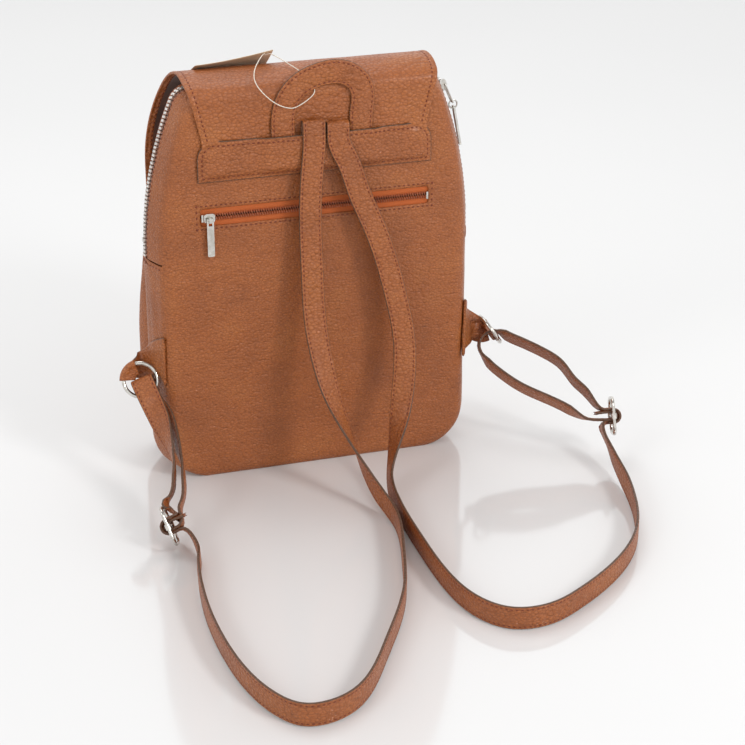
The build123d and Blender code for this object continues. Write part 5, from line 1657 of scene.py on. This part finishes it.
class BACKPACK_OT_sewing(bpy.types.Operator):
    """Sets the stitches along every seam gathered on the bag"""

    bl_idname = "backpack.sewing"
    bl_label = "Sewing"

    def execute(self, context):
        settings = finish_of(context)
        for body, gathered in seams.items():
            made = repeat_along(
                f"{body}_stitches", gathered, "thread", bonded_thread(settings), settings.stitch_pitch,
                settings.stitch_pitch * 0.62, settings.thread_width, 0.6, looseness=0.07,
            )
            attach(made, body)
        seams.clear()
        return {"FINISHED"}


class BACKPACK_OT_stage(bpy.types.Operator):
    """Builds the floor, the lights and the camera"""

    bl_idname = "backpack.stage"
    bl_label = "Stage"

    def execute(self, context):
        scene = context.scene
        made, tree, shader, place = material("glossy white acrylic sheet")
        haze = node(tree, "ShaderNodeTexNoise", {"Vector": place, "Scale": 1.2, "Detail": 2.0}).outputs["Fac"]
        white = ramp(tree, haze, [(0.2, linear("#E4E4E4")), (0.8, linear("#E9E9E9"))])
        join(tree, shader, "Base Color", white)
        join(tree, shader, "Roughness", rescale(tree, haze, 0.0, 1.0, 0.07, 0.12))
        shader.inputs["IOR"].default_value = 2.0
        corners = [(9000.0 * x, 9000.0 * y, 0) for x, y in ((-1, -1), (1, -1), (1, 1), (-1, 1))]
        floor = mesh_object("floor", corners, [(0, 1, 2, 3)])
        floor.data.materials.append(made)
        world = bpy.data.worlds.new("studio")
        world.use_nodes = True
        world.node_tree.nodes.clear()
        way = node(world.node_tree, "ShaderNodeTexCoord").outputs["Generated"]
        height = node(world.node_tree, "ShaderNodeSeparateXYZ", {0: way}).outputs[2]
        glow = rescale(world.node_tree, height, 0.5, 0.9, 1.1, 0.3, interpolation_type="SMOOTHSTEP")
        sky = node(world.node_tree, "ShaderNodeBackground", {"Color": (1.0, 1.0, 1.0, 1.0), "Strength": glow})
        node(world.node_tree, "ShaderNodeOutputWorld", {"Surface": sky.outputs[0]})
        scene.world = world
        target = Vector((0.0, 0.05, 0.16))
        for name, spot, power, size in (
            ("key", (-1.0, 1.6, 1.35), 15.5, 0.42), ("fill", (1.7, 0.9, 1.5), 6.0, 0.7),
            ("top", (0.1, -0.6, 2.0), 14.0, 1.3),
        ):
            lamp = bpy.data.lights.new(name, "AREA")
            lamp.shape = "SQUARE"
            lamp.size = size
            lamp.energy = power
            holder = add_object(name, lamp)
            holder.location = spot
            holder.rotation_euler = (target - Vector(spot)).to_track_quat("-Z", "Y").to_euler()
        lens = bpy.data.cameras.new("camera")
        lens.sensor_width = 36.0
        lens.lens = 96.64
        lens.clip_end = 50.0
        camera = add_object("camera", lens)
        camera.location = (0.42439, 1.57789, 0.83696)
        look = Vector((-0.02885, 0.0995, 0.11592)) - camera.location
        camera.rotation_euler = look.to_track_quat("-Z", "Y").to_euler()
        scene.camera = camera
        scene.view_settings.view_transform = "Standard"
        return {"FINISHED"}


class BACKPACK_PT_panel(bpy.types.Panel):
    """Backpack pieces and their finish"""

    bl_idname = "BACKPACK_PT_panel"
    bl_label = "Leather backpack"
    bl_space_type = "VIEW_3D"
    bl_region_type = "UI"
    bl_category = "Backpack"

    def draw(self, context):
        settings = finish_of(context)
        for name in settings.bl_rna.properties.keys():
            if name not in ("rna_type", "name"):
                self.layout.prop(settings, name)
        for operator in OPERATORS:
            self.layout.operator(operator.bl_idname)


OPERATORS = (
    BACKPACK_OT_body, BACKPACK_OT_main_zip, BACKPACK_OT_back_pocket, BACKPACK_OT_flap,
    BACKPACK_OT_front_pocket, BACKPACK_OT_patch, BACKPACK_OT_straps, BACKPACK_OT_tabs,
    BACKPACK_OT_hardware, BACKPACK_OT_tag_string, BACKPACK_OT_sewing, BACKPACK_OT_stage,
)


def register():
    for kind in (BackpackFinish, *OPERATORS, BACKPACK_PT_panel):
        bpy.utils.register_class(kind)
    bpy.types.Scene.backpack_finish = bpy.props.PointerProperty(type=BackpackFinish)


def unregister():
    del bpy.types.Scene.backpack_finish
    for kind in reversed((BackpackFinish, *OPERATORS, BACKPACK_PT_panel)):
        bpy.utils.unregister_class(kind)


def main():
    """Builds every piece in order."""
    register()
    bpy.ops.backpack.body()
    bpy.ops.backpack.main_zip()
    bpy.ops.backpack.back_pocket()
    bpy.ops.backpack.flap()
    bpy.ops.backpack.front_pocket()
    bpy.ops.backpack.patch()
    bpy.ops.backpack.straps()
    bpy.ops.backpack.tabs()
    bpy.ops.backpack.hardware()
    bpy.ops.backpack.tag_string()
    bpy.ops.backpack.sewing()
    bpy.ops.backpack.stage()


if __name__ == "__main__":
    main()
